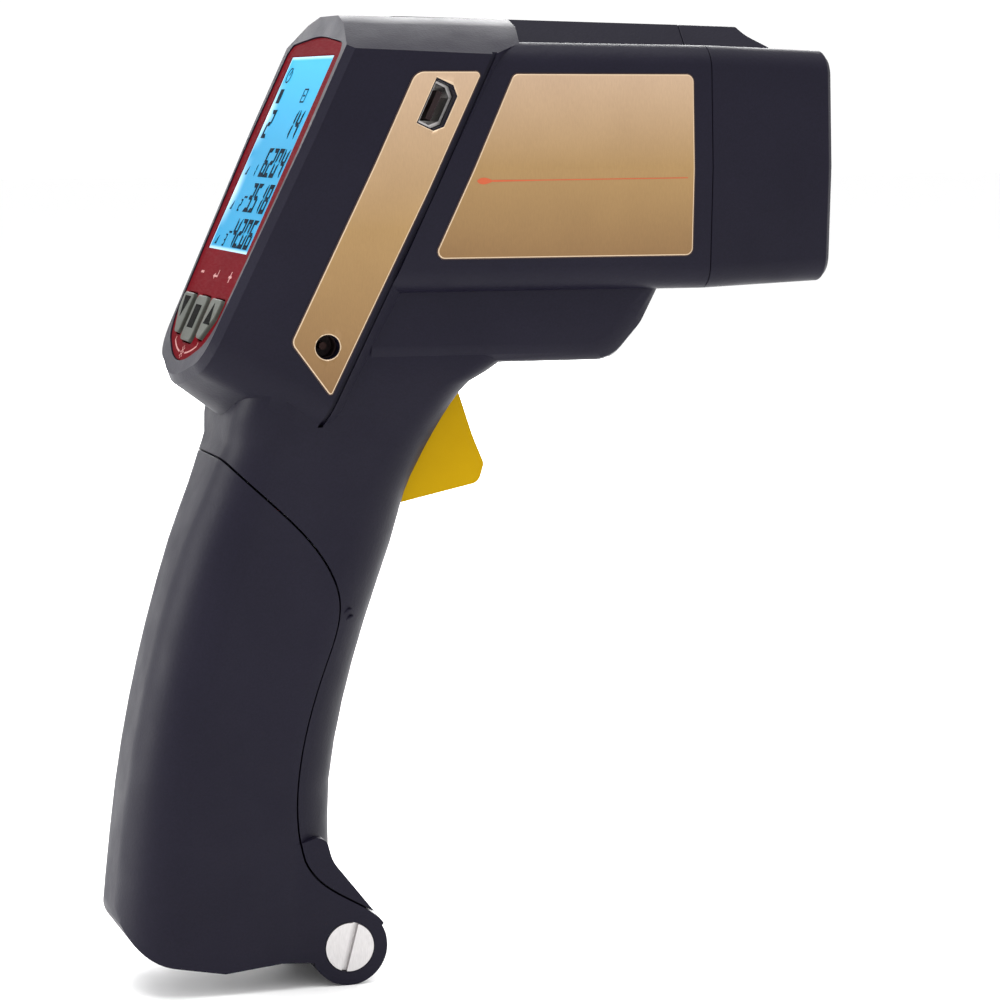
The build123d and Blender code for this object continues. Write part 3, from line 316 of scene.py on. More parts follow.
@dataclass(frozen=True)
class BareMetal(Finish):
    """Plated or turned steel with fine lines along one axis."""

    base: Colour = (0.6, 0.58, 0.57)
    lines: Colour = (1.0, 1.0, 12.0)
    roughness: tuple[float, float] = (0.26, 0.42)
    dulling: float = 0.8

    def wire(self, shader: Shader) -> None:
        """Wires streaked tone, gloss and bump.

        Args:
            shader: The shader to wire.
        """
        streaks = shader.noise(900.0, 5.0, shader.stretch(self.lines))
        dull = tuple(value * self.dulling for value in self.base)
        shader.put(Base_Color=shader.ramp(streaks, list(zip(NOISE_RANGE, (dull, self.base)))), Metallic=1.0)
        shader.put(Roughness=shader.spread(streaks, *self.roughness))
        shader.bump(streaks, 0.01, 0.5)


@dataclass(frozen=True)
class CircuitBoard(Finish):
    """Green solder mask over copper tracks and tinned pads."""

    mask: Colour = (0.012, 0.1, 0.035)
    track: Colour = (0.03, 0.2, 0.07)
    pad: Colour = (0.55, 0.52, 0.46)

    def wire(self, shader: Shader) -> None:
        """Wires branching tracks, small pads and a slight relief of both.

        Args:
            shader: The shader to wire.
        """
        tracks = shader.cells(420.0)
        pads = shader.cells(760.0)
        colour = shader.ramp(tracks, [(0.3, self.mask), (0.34, self.track), (0.5, self.mask)])
        colour = shader.mix(shader.remap(pads, 0.12, 0.1), colour, self.pad)
        shader.put(Base_Color=colour)
        shader.put(Roughness=shader.spread(shader.noise(200.0), 0.25, 0.4))
        shader.bump(tracks, 0.03, 0.5)


@dataclass(frozen=True)
class ClearPart(Finish):
    """Clear window, lens or lamp with a little dust on it."""

    tint: Colour = (0.95, 0.97, 1.0)
    alpha: float = 0.1
    specular: float = 0.12

    def wire(self, shader: Shader) -> None:
        """Wires see-through, glossy, with dust in its gloss and a faint ripple.

        Args:
            shader: The shader to wire.
        """
        dust = shader.noise(350.0, 6.0)
        shader.put(Base_Color=self.tint, Alpha=self.alpha, Specular_IOR_Level=self.specular)
        shader.put(Roughness=shader.spread(dust, 0.03, 0.12))
        shader.bump(shader.noise(120.0, 2.0), 0.01, 0.3)


@dataclass(frozen=True)
class DisplayPlane:
    """Frame of the tilted display in mm: across to the right, along up the glass, out to the holder.

    Heights out of it: the window's outer face, the lit face on it, the red plate's front, the keys' tops, and
    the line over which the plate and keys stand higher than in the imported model.
    """

    x: float = -31.0
    z: float = 143.1
    tilt: float = math.radians(25.0)
    window: float = 0.0
    face: float = 1.95
    plate: float = 2.1
    key_top: float = 2.7
    rise_line: float = 1.1

    @property
    def origin(self) -> Colour:
        """Point at the middle of the window."""
        return (self.x, 0.0, self.z)

    @property
    def up(self) -> Colour:
        """Direction up the glass."""
        return (math.sin(self.tilt), 0.0, math.cos(self.tilt))

    def place(self, across: np.ndarray, along: np.ndarray, out: np.ndarray) -> np.ndarray:
        """Points in metres: the origin, plus across to the right, along up and out towards the holder.

        Args:
            across: Distances to the holder's right.
            along: Distances up the glass.
            out: Distances out of the glass.

        Returns:
            One row of x, y, z for each.
        """
        x = self.x + along * math.sin(self.tilt) - out * math.cos(self.tilt)
        z = self.z + along * math.cos(self.tilt) + out * math.sin(self.tilt)
        return np.stack([x, -across, z], axis=-1) * MM

    def thicken(self, points: np.ndarray, raised: float) -> np.ndarray:
        """Points in metres, with those over the rise line moved out by a height in mm.

        Args:
            points: Rows of x, y, z.
            raised: How far the front face moves out.

        Returns:
            The points. A point's height out is its offset from the origin times the plane's normal.
        """
        normal = np.array([-math.cos(self.tilt), 0.0, math.sin(self.tilt)])
        out = (points / MM - self.origin) @ normal
        return points + np.outer((out > self.rise_line) * raised * MM, normal)

    def side_place(self, along: float, out: float) -> tuple[float, float]:
        """x and z of a point of the middle plane, in mm."""
        x, _, z = self.place(np.array(0.0), np.array(along), np.array(out)) / MM
        return float(x), float(z)


DISPLAY = DisplayPlane()


@dataclass(frozen=True)
class LitDisplay(Finish):
    """Backlit liquid crystal glass with two lamps at the holder's left and a bright rim."""

    deep: Colour = (0.020, 0.235, 0.40)
    pale: Colour = (0.016, 0.165, 0.30)
    glow: Colour = (0.46, 0.62, 0.72)
    half: tuple[float, float] = (14.35, 18.35)
    blend: float = 18.0
    lamps: tuple[float, float] = (7.0, -7.5)
    lamp_reach: float = 5.5
    lamp_spread: float = 7.0
    lamp_fall: float = 1.8
    rim_width: float = 0.7
    rim_light: float = 0.75
    strength: float = 0.5

    def wire(self, shader: Shader) -> None:
        """Wires blue that deepens upwards, a bell of light by each lamp and a thin bright rim.

        Args:
            shader: The shader to wire.
        """
        across = shader.along((0.0, -1.0, 0.0))
        along = shader.along(DISPLAY.up, DISPLAY.origin)
        height = shader.remap(along, -self.blend, self.blend)
        base = shader.ramp(height, [(0.0, self.pale), (0.5, self.pale), (1.0, self.deep)])
        reach = shader.remap(across, self.lamp_reach - self.half[0], -self.half[0])
        away = [shader.math("ABSOLUTE", shader.math("SUBTRACT", along, lamp)) for lamp in self.lamps]
        bells = shader.math("MAXIMUM", *[shader.remap(distance, self.lamp_spread, 0.0) for distance in away])
        light = shader.math("MULTIPLY", shader.math("POWER", reach, self.lamp_fall), bells)
        sides = [shader.math("ABSOLUTE", across), shader.math("ABSOLUTE", along)]
        rims = [shader.remap(side, half - self.rim_width, half) for side, half in zip(sides, self.half)]
        rim = shader.math("MULTIPLY", shader.math("MAXIMUM", *rims), self.rim_light)
        patches = shader.remap(shader.noise(200.0), 0.2, 0.5, 0.8, 1.0)
        light = shader.math("MULTIPLY", shader.math("MAXIMUM", light, rim), patches)
        colour = shader.mix(light, base, self.glow)
        shader.put(Base_Color=colour, Emission_Color=colour, Emission_Strength=self.strength)
        shader.put(Roughness=0.45, Specular_IOR_Level=0.01)
        shader.bump(shader.noise(2500.0, 1.0), 0.004, 0.4)


@dataclass(frozen=True)
class WrappedCell(Finish):
    """Printed battery wrap: a dark sleeve with a copper-coloured band at its top."""

    sleeve: Colour = (0.012, 0.012, 0.014)
    line: Colour = (0.7, 0.68, 0.6)
    band: Colour = (0.42, 0.17, 0.05)
    border: float = 0.44
    line_width: float = 0.006
    top: float = 100.0

    def wire(self, shader: Shader) -> None:
        """Wires two printed bands divided by a thin light line, with a shrink ripple.

        Args:
            shader: The shader to wire.
        """
        height = shader.remap(shader.along(UP), 0.0, self.top)
        stops = [(0.0, self.sleeve), (self.border - self.line_width, self.line), (self.border, self.band)]
        shader.put(Base_Color=shader.ramp(height, stops, stepped=True))
        shader.put(Roughness=shader.spread(shader.noise(260.0, 4.0), 0.25, 0.38))
        shader.bump(shader.noise(420.0, 2.0, shader.stretch((1.0, 1.0, 0.2))), 0.02, 0.5)


CASE = Moulded("case plastic", (0.0062, 0.0052, 0.0135), (0.0085, 0.0072, 0.017), (0.42, 0.54), specular=0.14)
YELLOW = Gloss("trigger yellow", (0.50, 0.30, 0.002), (0.45, 0.265, 0.0015), (0.36, 0.48), 0.05)
RED = Gloss("bezel red", (0.098, 0.0022, 0.0055), (0.082, 0.0018, 0.0046), (0.46, 0.58), 0.004)
KEY_GREY = Moulded("key grey", (0.058, 0.062, 0.054), (0.078, 0.082, 0.072), (0.4, 0.5), 3200.0, 0.015, 0.03)
BLACK = Moulded("black moulding", (0.010, 0.010, 0.011), (0.016, 0.016, 0.017), (0.4, 0.55), specular=0.3)
SOCKET_BROWN = Moulded("socket brown", (0.022, 0.009, 0.010), (0.03, 0.013, 0.014), (0.5, 0.6), specular=0.3)
WHITE = Moulded("white moulding", (0.66, 0.65, 0.62), (0.76, 0.75, 0.72), (0.4, 0.5))
RUBBER = Moulded("dark rubber", (0.02, 0.02, 0.022), (0.035, 0.035, 0.038), (0.6, 0.75))
FOAM = Moulded("foam strip", (0.02, 0.02, 0.02), (0.05, 0.05, 0.05), (0.8, 0.95), 1500.0, 0.2, 0.2)
FLAT_CABLE = Gloss("flat cable", (0.62, 0.6, 0.55), (0.5, 0.48, 0.44), (0.35, 0.5))
TILE = Gloss("white tile", (0.86, 0.86, 0.84), (0.83, 0.83, 0.81), (0.12, 0.2))
RED_LEAD = Gloss("red insulation", (0.45, 0.015, 0.015), (0.38, 0.01, 0.01), (0.35, 0.45))
BLACK_LEAD = Gloss("black insulation", (0.012, 0.012, 0.012), (0.008, 0.008, 0.008), (0.35, 0.45))
STEEL = BareMetal("plain steel")
SCREW_FACE = BareMetal("turned screw", (0.62, 0.6, 0.6), (12.0, 1.0, 1.0), (0.35, 0.5))
# The round socket's pin is coloured nearly black: painted shade inside the socket's hole.
PIN_IN_PAINTED_SHADE = BareMetal("pin in painted shade", (0.05, 0.03, 0.028), roughness=(0.5, 0.6))
BOARD = CircuitBoard("circuit board")
CLEAR = ClearPart("clear window")
LAMP = ClearPart("lamp epoxy", (0.9, 0.95, 1.0), 0.55)
LCD = LitDisplay("lit display")
CELL = WrappedCell("battery wrap")
SEGMENT_INK = Gloss("segment ink", (0.002, 0.008, 0.018), (0.002, 0.007, 0.015), (0.5, 0.6), 0.005)
KEY_INK = Gloss("key ink", (0.003, 0.003, 0.003), (0.002, 0.002, 0.002), (0.5, 0.6), 0.005)
PALE_INK = Gloss("pale ink", (0.38, 0.18, 0.17), (0.32, 0.14, 0.13), (0.4, 0.5), 0.1)
RULE_INK = Gloss("orange rule ink", (0.50, 0.085, 0.018), (0.42, 0.06, 0.012), (0.35, 0.45))
FLOOR_PAINT = Gloss("pale floor", (0.94, 0.94, 0.94), (0.93, 0.93, 0.93), (0.6, 0.7))


class Dresser:
    """Gives pieces their finish and body, and keeps one material for each finish."""

    def __init__(self) -> None:
        """Starts with no material made."""
        self.made: dict[str, bpy.types.Material] = {}

    def material(self, finish: Finish) -> bpy.types.Material:
        """The one material of a finish, made when first asked for."""
        if finish.name not in self.made:
            self.made[finish.name] = finish.material()
        return self.made[finish.name]

    def settle(self, piece: bpy.types.Object, finish: Finish, body: Body, slot: str, *replaced: str) -> None:
        """Dresses a new piece and ties it to its body.

        Args:
            piece: The new piece, in place.
            finish: Its finish.
            body: The body that it rides on.
            slot: The record's material slot named for the piece; not used.
            replaced: CAD nodes that it stands for.
        """
        piece.data.materials.clear()
        piece.data.materials.append(self.material(finish))
        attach(piece, body.value)
        if replaced:
            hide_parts(*replaced)
        LOG.info("%s: %s on %s", piece.name, finish.name, body.value)

    def paint(self, finish: Finish, *nodes: str) -> None:
        """Gives CAD nodes whose shape stays a finish.

        Args:
            finish: The finish.
            nodes: The CAD nodes.
        """
        for node in nodes:
            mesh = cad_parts[node].data
            mesh.materials.clear()
            mesh.materials.append(self.material(finish))
            LOG.info("%s keeps its shape, in %s", node, finish.name)


DRESSER = Dresser()


def make_piece(
    name: str, points: np.ndarray, faces: Sequence[Sequence[int]], crease: float = 30.0
) -> bpy.types.Object:
    """Puts points and faces into a new object at the origin, with its faces turned outwards.

    Args:
        name: The piece's name.
        points: Its vertices, in metres.
        faces: Its faces, as rows of vertex numbers.
        crease: Least angle between faces that is shaded as an edge, in degrees.

    Returns:
        The object.
    """
    mesh = bpy.data.meshes.new(name)
    mesh.from_pydata(np.asarray(points, dtype=float).tolist(), [], [list(map(int, face)) for face in faces])
    form = bmesh.new()
    form.from_mesh(mesh)
    bmesh.ops.recalc_face_normals(form, faces=form.faces)
    form.to_mesh(mesh)
    form.free()
    mesh.shade_smooth()
    mesh.set_sharp_from_angle(angle=math.radians(crease))
    piece = bpy.data.objects.new(name, mesh)
    bpy.context.scene.collection.objects.link(piece)
    return piece


def read_points(mesh: bpy.types.Mesh) -> np.ndarray:
    """A mesh's vertices, one row each, in metres."""
    points = np.empty(len(mesh.vertices) * 3)
    mesh.vertices.foreach_get("co", points)
    return points.reshape(-1, 3)


def read_triangles(mesh: bpy.types.Mesh) -> np.ndarray:
    """A triangle mesh's corners, one row of three vertex numbers each."""
    corners = np.empty(len(mesh.loops), dtype=np.int64)
    mesh.loops.foreach_get("vertex_index", corners)
    return corners.reshape(-1, 3)


def ring_faces(rows: int, columns: int, start: int = 0) -> np.ndarray:
    """Quads between closed rings: corner k of row r is start + r x columns + k, and each row closes."""
    row, column = np.meshgrid(np.arange(rows - 1), np.arange(columns), indexing="ij")
    near, far, after = row * columns, (row + 1) * columns, (column + 1) % columns
    corners = (near + column, near + after, far + after, far + column)
    return np.stack(corners, axis=-1).reshape(-1, 4) + start


def closed_faces(rows: int, columns: int, start: int = 0) -> list[Sequence[int]]:
    """Quads between closed rings, and one face over the first ring and one over the last."""
    last = start + (rows - 1) * columns
    return [*ring_faces(rows, columns, start), range(start, start + columns), range(last, last + columns)]


def rounded_outline(
    corners: np.ndarray, radii: Sequence[float], inset: float = 0.0, arc: int = 7, side: int = 0
) -> np.ndarray:
    """Outline of a convex polygon with round corners, drawn in by a distance.

    Each side moves inwards by the inset, and each corner becomes an arc with what is left of its radius. The
    number of points is the same for every inset, so outlines of growing inset join into a surface.

    Args:
        corners: The polygon's corners, anticlockwise, one row each.
        radii: Each corner's radius.
        inset: How far the outline is drawn in. A negative one grows it.
        arc: Points on each corner's arc.
        side: Points on each side between its arcs.

    Returns:
        The outline's points.
    """
    corners = np.asarray(corners, dtype=float)
    ahead = np.roll(corners, -1, axis=0) - corners
    ahead /= np.linalg.norm(ahead, axis=1, keepdims=True)
    inwards = np.stack([-ahead[:, 1], ahead[:, 0]], axis=1)
    behind = np.roll(inwards, 1, axis=0)
    bisector = inwards + behind
    bisector /= np.sum(bisector * inwards, axis=1, keepdims=True)
    radius = np.maximum(np.asarray(radii, dtype=float) - inset, 0.02)[:, None]
    centre = corners + bisector * (inset + radius)
    share = np.linspace(0.0, 1.0, arc)[None, :, None]
    spoke = -behind[:, None, :] * (1 - share) - inwards[:, None, :] * share
    spoke /= np.linalg.norm(spoke, axis=2, keepdims=True)
    arcs = centre[:, None, :] + spoke * radius[:, None, :]
    step = np.linspace(0.0, 1.0, side + 2)[None, 1:-1, None]
    sides = arcs[:, -1:, :] * (1 - step) + np.roll(arcs, -1, axis=0)[:, :1, :] * step
    return np.concatenate([arcs, sides], axis=1).reshape(-1, 2)


def circle(across: float, along: float, radius: float, count: int = 40) -> np.ndarray:
    """Points round a circle: middle plus radius times cosine and sine of equal steps."""
    turn = np.linspace(0.0, 2 * math.pi, count, endpoint=False)
    return np.stack([across + radius * np.cos(turn), along + radius * np.sin(turn)], axis=1)


def rectangle(across: float, along: float, wide: float, high: float) -> np.ndarray:
    """Four corners of a rectangle about its middle, anticlockwise."""
    return np.array([across, along]) + np.array([[-1, -1], [1, -1], [1, 1], [-1, 1]]) * (wide / 2, high / 2)


def stroke(path: np.ndarray, width: float) -> np.ndarray:
    """Outline of an open line of a width: its points moved half the width to each side, down one and back."""
    path = np.asarray(path, dtype=float)
    ahead = np.gradient(path, axis=0)
    ahead /= np.linalg.norm(ahead, axis=1, keepdims=True)
    aside = np.stack([-ahead[:, 1], ahead[:, 0]], axis=1) * width / 2
    return np.concatenate([path + aside, (path - aside)[::-1]])


def edge_distance(points: np.ndarray, outlines: Sequence[np.ndarray]) -> np.ndarray:
    """Distance of each point from the nearest of some closed outlines.

    Each point is dropped on each side of each outline, the foot is held within that side, and the shortest of
    the distances to the feet is kept.

    Args:
        points: Points in the plane, one row each.
        outlines: Closed outlines in the same plane.

    Returns:
        One distance for each point.
    """
    start = np.concatenate(outlines)
    run = np.concatenate([np.roll(line, -1, axis=0) for line in outlines]) - start
    reach = points[:, None, :] - start[None, :, :]
    share = np.clip(np.sum(reach * run, axis=2) / np.sum(run * run, axis=1), 0.0, 1.0)
    return np.linalg.norm(reach - share[..., None] * run, axis=2).min(axis=1)


class Slabs:
    """Collects closed slabs drawn on the display's plane into one mesh."""

    def __init__(self, low: float, high: float) -> None:
        """Starts with nothing drawn.

        Args:
            low: Height of the slabs' undersides out of the display's plane, in mm.
            high: Height of their tops.
        """
        self.low, self.high = low, high
        self.points: list[np.ndarray] = []
        self.faces: list[Sequence[int]] = []
        self.count = 0

    def rings(self, *rings: tuple[np.ndarray, float]) -> int:
        """Adds closed rings at heights and gives the first one's number."""
        start = self.count
        for outline, out in rings:
            self.points.append(DISPLAY.place(outline[:, 0], outline[:, 1], np.full(len(outline), out)))
            self.count += len(outline)
        return start

    def plate(self, outline: np.ndarray) -> None:
        """Adds a slab inside one outline."""
        start = self.rings((outline, self.low), (outline, self.high))
        self.faces += closed_faces(2, len(outline), start)

    def band(self, outer: np.ndarray, inner: np.ndarray) -> None:
        """Adds a slab between two outlines of as many points, as four rings that come back to the first."""
        size = len(outer)
        start = self.rings((outer, self.low), (outer, self.high), (inner, self.high), (inner, self.low))
        column = np.arange(size)
        after = (column + 1) % size
        self.faces.extend(ring_faces(4, size, start))
        self.faces.extend(np.stack([column, after, after + 3 * size, column + 3 * size], axis=1) + start)

    def piece(self, name: str) -> bpy.types.Object:
        """The collected slabs as one object."""
        return make_piece(name, np.concatenate(self.points), self.faces, 20.0)


@dataclass
class SoftCopy:
    """Copy of a CAD node with its triangles joined and its edges softened."""

    node: str
    name: str
    finish: Finish
    body: Body
    slot: str
    edge: float = 0.35
    crease: float = 32.0
    raised: float = 0.0
    weld: float = 0.002
    flat: float = math.radians(0.6)

    def build(self) -> None:
        """Joins the node's vertices that round to one place, makes its flats whole and rounds its edges."""
        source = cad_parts[self.node].data
        points = DISPLAY.thicken(read_points(source), self.raised)
        places = np.round(points / (self.weld * MM)).astype(np.int64)
        _, first, back = np.unique(places, axis=0, return_index=True, return_inverse=True)
        faces = back.reshape(-1)[read_triangles(source)]
        whole = np.all(faces != np.roll(faces, 1, axis=1), axis=1)
        piece = make_piece(self.name, points[first], faces[whole], self.crease)
        form = bmesh.new()
        form.from_mesh(piece.data)
        bmesh.ops.dissolve_limit(form, angle_limit=self.flat, verts=form.verts, edges=form.edges)
        form.to_mesh(piece.data)
        form.free()
        piece.data.set_sharp_from_angle(angle=math.radians(self.crease))
        softener = piece.modifiers.new("softened edges", "BEVEL")
        softener.width = self.edge * MM
        softener.segments = 2
        softener.limit_method = "ANGLE"
        softener.angle_limit = math.radians(self.crease)
        softener.harden_normals = True
        DRESSER.settle(piece, self.finish, self.body, self.slot, self.node)


@dataclass
class CaseSkin:
    """Moulded shells: the two halves, the grip's cover, the front cap and the trigger."""

    edge: float = 0.45
    shells: tuple[tuple[str, str, Body], ...] = (
        ("right_housing", "right_case", Body.CASE),
        ("left_housing", "left_case", Body.CASE),
        ("battery_cover", "grip_cover", Body.COVER),
        ("front_cap", "light_port_cap", Body.CAP),
    )

    def build(self) -> None:
        """Builds every shell."""
        for node, name, body in self.shells:
            SoftCopy(node, name, CASE, body, "case_dark", self.edge).build()
        SoftCopy("trigger", "finger_trigger", YELLOW, Body.TRIGGER, "trigger_yellow", 0.6).build()


@dataclass
class CoverNibs:
    """Two small slanted nibs on the right side where the cover's edge meets the case."""

    places: tuple[tuple[float, float], ...] = ((-23.3, 65.9), (-22.9, 64.6))
    half_size: tuple[float, float] = (0.9, 0.25)
    profile: tuple[tuple[float, float], ...] = ((1.0, -0.9), (1.0, 0.05), (0.8, 0.24), (0.45, 0.3))
    around: int = 20
    slope: float = math.radians(28.0)

    def build(self) -> None:
        """Builds the nibs as one piece, each a low ridge with round ends laid on the case's side.

        A ring is an ellipse whose height above the case and share of the full size come from the profile.
        """
        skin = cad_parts["right_housing"].data
        host = BVHTree.FromPolygons(read_points(skin).tolist(), read_triangles(skin).tolist())
        points, faces, size = [], [], self.around
        spine = np.array([math.cos(self.slope), math.sin(self.slope)])
        aside = np.array([-spine[1], spine[0]])
        for x, z in self.places:
            found, _, _, _ = host.ray_cast(Vector((x * MM, -0.1, z * MM)), Vector((0.0, 1.0, 0.0)))
            face_y = found.y / MM
            start = len(points) * size
            for share, out in self.profile:
                ring = circle(0.0, 0.0, 1.0, size) * self.half_size * ((1 + share) / 2, share)
                flat = np.array([x, z]) + ring[:, :1] * spine + ring[:, 1:] * aside
                points.append(np.stack([flat[:, 0], np.full(size, face_y - out), flat[:, 1]], axis=1) * MM)
            faces += closed_faces(len(self.profile), size, start)
        DRESSER.settle(make_piece("cover_nibs", np.concatenate(points), faces), CASE, Body.CASE, "case_dark")


@dataclass
class GoldLabel:
    """Thin foil label that follows one side of the case, on a slightly larger band that is coloured as
    painted shadow round it.
    """

    name: str
    node: str
    side: Side
    finish: GoldFoil
    corners: np.ndarray
    radii: tuple[float, ...]
    holes: list[np.ndarray] = field(default_factory=list)
    thick: float = 0.22
    # Width of the band round the label that is coloured as painted shadow.
    painted_shadow_band: float = 0.22
    film: float = 0.05
    sunk: float = 0.15
    round_edge: float = 0.05
    face_ring: float = 0.6
    arc_points: int = 7
    side_points: int = 24
    face_shares: tuple[float, float, int] = (0.94, 0.02, 16)
    under_shares: tuple[float, ...] = (0.02, 0.25, 0.5, 0.75)
    cut_span: tuple[float, float] = (-40.0, 40.0)
    border_arc: int = 12

    def case_half(self, x: np.ndarray, z: np.ndarray) -> np.ndarray:
        """Half-width of the case's side at points of the middle plane, in mm."""
        raise NotImplementedError

    def on_side(self, flat: np.ndarray, proud: float) -> np.ndarray:
        """Points in metres: x and z as drawn, and y the case's half-width plus how proud they stand."""
        y = self.side.value * (self.case_half(flat[:, 0], flat[:, 1]) + proud)
        return np.stack([flat[:, 0], y, flat[:, 1]], axis=1) * MM

    def build(self) -> None:
        """Builds the label: rings from its underside round its edge and in over its face, less its holes.

        Each ring of the edge is the outline drawn in by an inset, at a height. The rings of the face and of
        the underside are the innermost and outermost of those, shrunk to shares of their size.
        """
        # The first two rings lie on the band round the label that is coloured as painted shadow.
        profile = [(-self.painted_shadow_band, -self.sunk), (-self.painted_shadow_band, self.film), (0.0, self.film + 0.01)]
        profile += [(0.0, self.thick - self.round_edge), (self.round_edge, self.thick)]
        profile += [(self.finish.edge_width, self.thick), (self.face_ring, self.thick)]
        shape = self.arc_points, self.side_points
        outline = self.corners, self.radii
        rings = [(rounded_outline(*outline, inset, *shape), proud) for inset, proud in profile]
        outermost, innermost = rings[0][0], rings[-1][0]
        middle = innermost.mean(axis=0)
        shares = np.linspace(*self.face_shares)
        inner = [(middle + (innermost - middle) * share, self.thick) for share in shares]
        under = [(middle + (outermost - middle) * share, -self.sunk) for share in self.under_shares]
        stack = under + rings + inner
        points = np.concatenate([self.on_side(flat, proud) for flat, proud in stack])
        label = make_piece(self.name, points, closed_faces(len(stack), len(outermost)), 35.0)
        for hole in self.holes:
            self.cut(label, hole)
        self.mark_edges(label.data)
        DRESSER.settle(label, self.finish, Body.CASE, "label_gold", self.node)

    def cut(self, label: bpy.types.Object, hole: np.ndarray) -> None:
        """Takes a straight hole out of the label.

        Args:
            label: The label.
            hole: The hole's outline in x and z.
        """
        size = len(hole)
        ends = [np.stack([hole[:, 0], np.full(size, y), hole[:, 1]], axis=1) * MM for y in self.cut_span]
        cutter = make_piece("hole cutter", np.concatenate(ends), closed_faces(2, size))
        knife = label.modifiers.new("hole", "BOOLEAN")
        knife.object = cutter
        knife.solver = "EXACT"
        bpy.context.view_layer.update()
        cut_mesh = bpy.data.meshes.new_from_object(label.evaluated_get(bpy.context.evaluated_depsgraph_get()))
        label.modifiers.clear()
        label.data = cut_mesh
        bpy.data.objects.remove(cutter, do_unlink=True)

    def mark_edges(self, mesh: bpy.types.Mesh) -> None:
        """Writes each vertex's distance in from the label's cut edges, negative on the band round the label
        that is coloured as painted shadow.

        Args:
            mesh: The label's mesh.
        """
        flat = read_points(mesh)[:, ::2] / MM
        border = rounded_outline(self.corners, self.radii, 0.0, self.border_arc)
        grown = rounded_outline(self.corners, self.radii, -self.painted_shadow_band, self.border_arc)
        distance = edge_distance(flat, [border, *self.holes])
        # Points on the outer band get negative distances, which the foil colours as painted shadow.
        outside = edge_distance(flat, [grown]) < self.painted_shadow_band / 2
        layer = mesh.attributes.new("edge_distance", "FLOAT", "POINT")
        layer.data.foreach_set("value", np.where(outside, -distance, distance).astype(np.float32))


@dataclass
class BarrelLabel(GoldLabel):
    """Large label on the barrel's flank, which is widest at mid height, with a thin orange rule across it."""

    mid_half: float = 22.6
    mid_height: float = 141.5
    draw_up: float = 1.2 / 21.3
    draw_down: float = 1.0 / 21.0
    rule_height: float = 139.5
    rule_span: tuple[float, float] = (-2.6, 35.4)
    rule_steps: int = 161
    drop_long: float = 2.8
    tail_long: float = 9.0
    halves: tuple[float, float, float] = (0.08, 0.48, 0.09)
    tip_half: float = 0.02
    climb: float = 0.008
    ink_span: tuple[float, float] = (-0.05, 0.03)

    def case_half(self, x: np.ndarray, z: np.ndarray) -> np.ndarray:
        """Half-width falls evenly from mid height to the top and to the bottom."""
        rise = z - self.mid_height
        return self.mid_half - np.where(rise > 0, rise * self.draw_up, -rise * self.draw_down)

    def rule(self) -> None:
        """Builds the rule: a hair line that thickens a little to the rear and ends there in a drop.

        Its half-width is the line's, plus half a sine wave over the drop, plus an even taper over the tail.
        """
        start, end = self.rule_span
        line_half, drop_half, tail_half = self.halves
        x = start + (end - start) * np.linspace(0.0, 1.0, self.rule_steps) ** 2
        drop = np.clip((x - start) / self.drop_long, 0.0, 1.0)
        tail = np.clip(1.0 - (x - start - self.drop_long) / self.tail_long, 0.0, 1.0) * (drop >= 1.0)
        half = line_half + drop_half * np.sin(math.pi * drop**0.75) + tail_half * tail
        half[0] = self.tip_half
        z = self.rule_height + self.climb * (x - start)
        outline = np.concatenate([np.stack([x, z - half], axis=1), np.stack([x, z + half], axis=1)[::-1]])
        size = len(outline)
        column = np.arange(len(x) - 1)
        quads = np.stack([column, column + 1, size - 2 - column, size - 1 - column], axis=1)
        faces = [*ring_faces(2, size), *quads, *(quads + size)]
        points = np.concatenate([self.on_side(outline, self.thick + proud) for proud in self.ink_span])
        piece = make_piece(self.name.replace("label", "rule"), points, faces)
        DRESSER.settle(piece, RULE_INK, Body.CASE, "label_gold")


@dataclass
class StripLabel(GoldLabel):
    """Slanted label along the groove, on the display head's flank."""

    back_half: float = 22.9
    back_depth: float = 21.1
    slope: float = 1.2 / 23.6
    bend: float = 4.0
    draw: float = 3.6 / 42.6

    def case_half(self, x: np.ndarray, z: np.ndarray) -> np.ndarray:
        """Half-width falls evenly towards the display, and below the bend towards the grip."""
        turn = DISPLAY.tilt
        along = (x - DISPLAY.x) * math.sin(turn) + (z - DISPLAY.z) * math.cos(turn)
        out = (z - DISPLAY.z) * math.sin(turn) - (x - DISPLAY.x) * math.cos(turn)
        waist = self.draw * np.maximum(self.bend - along, 0.0)
        return self.back_half - self.slope * (out + self.back_depth) - waist


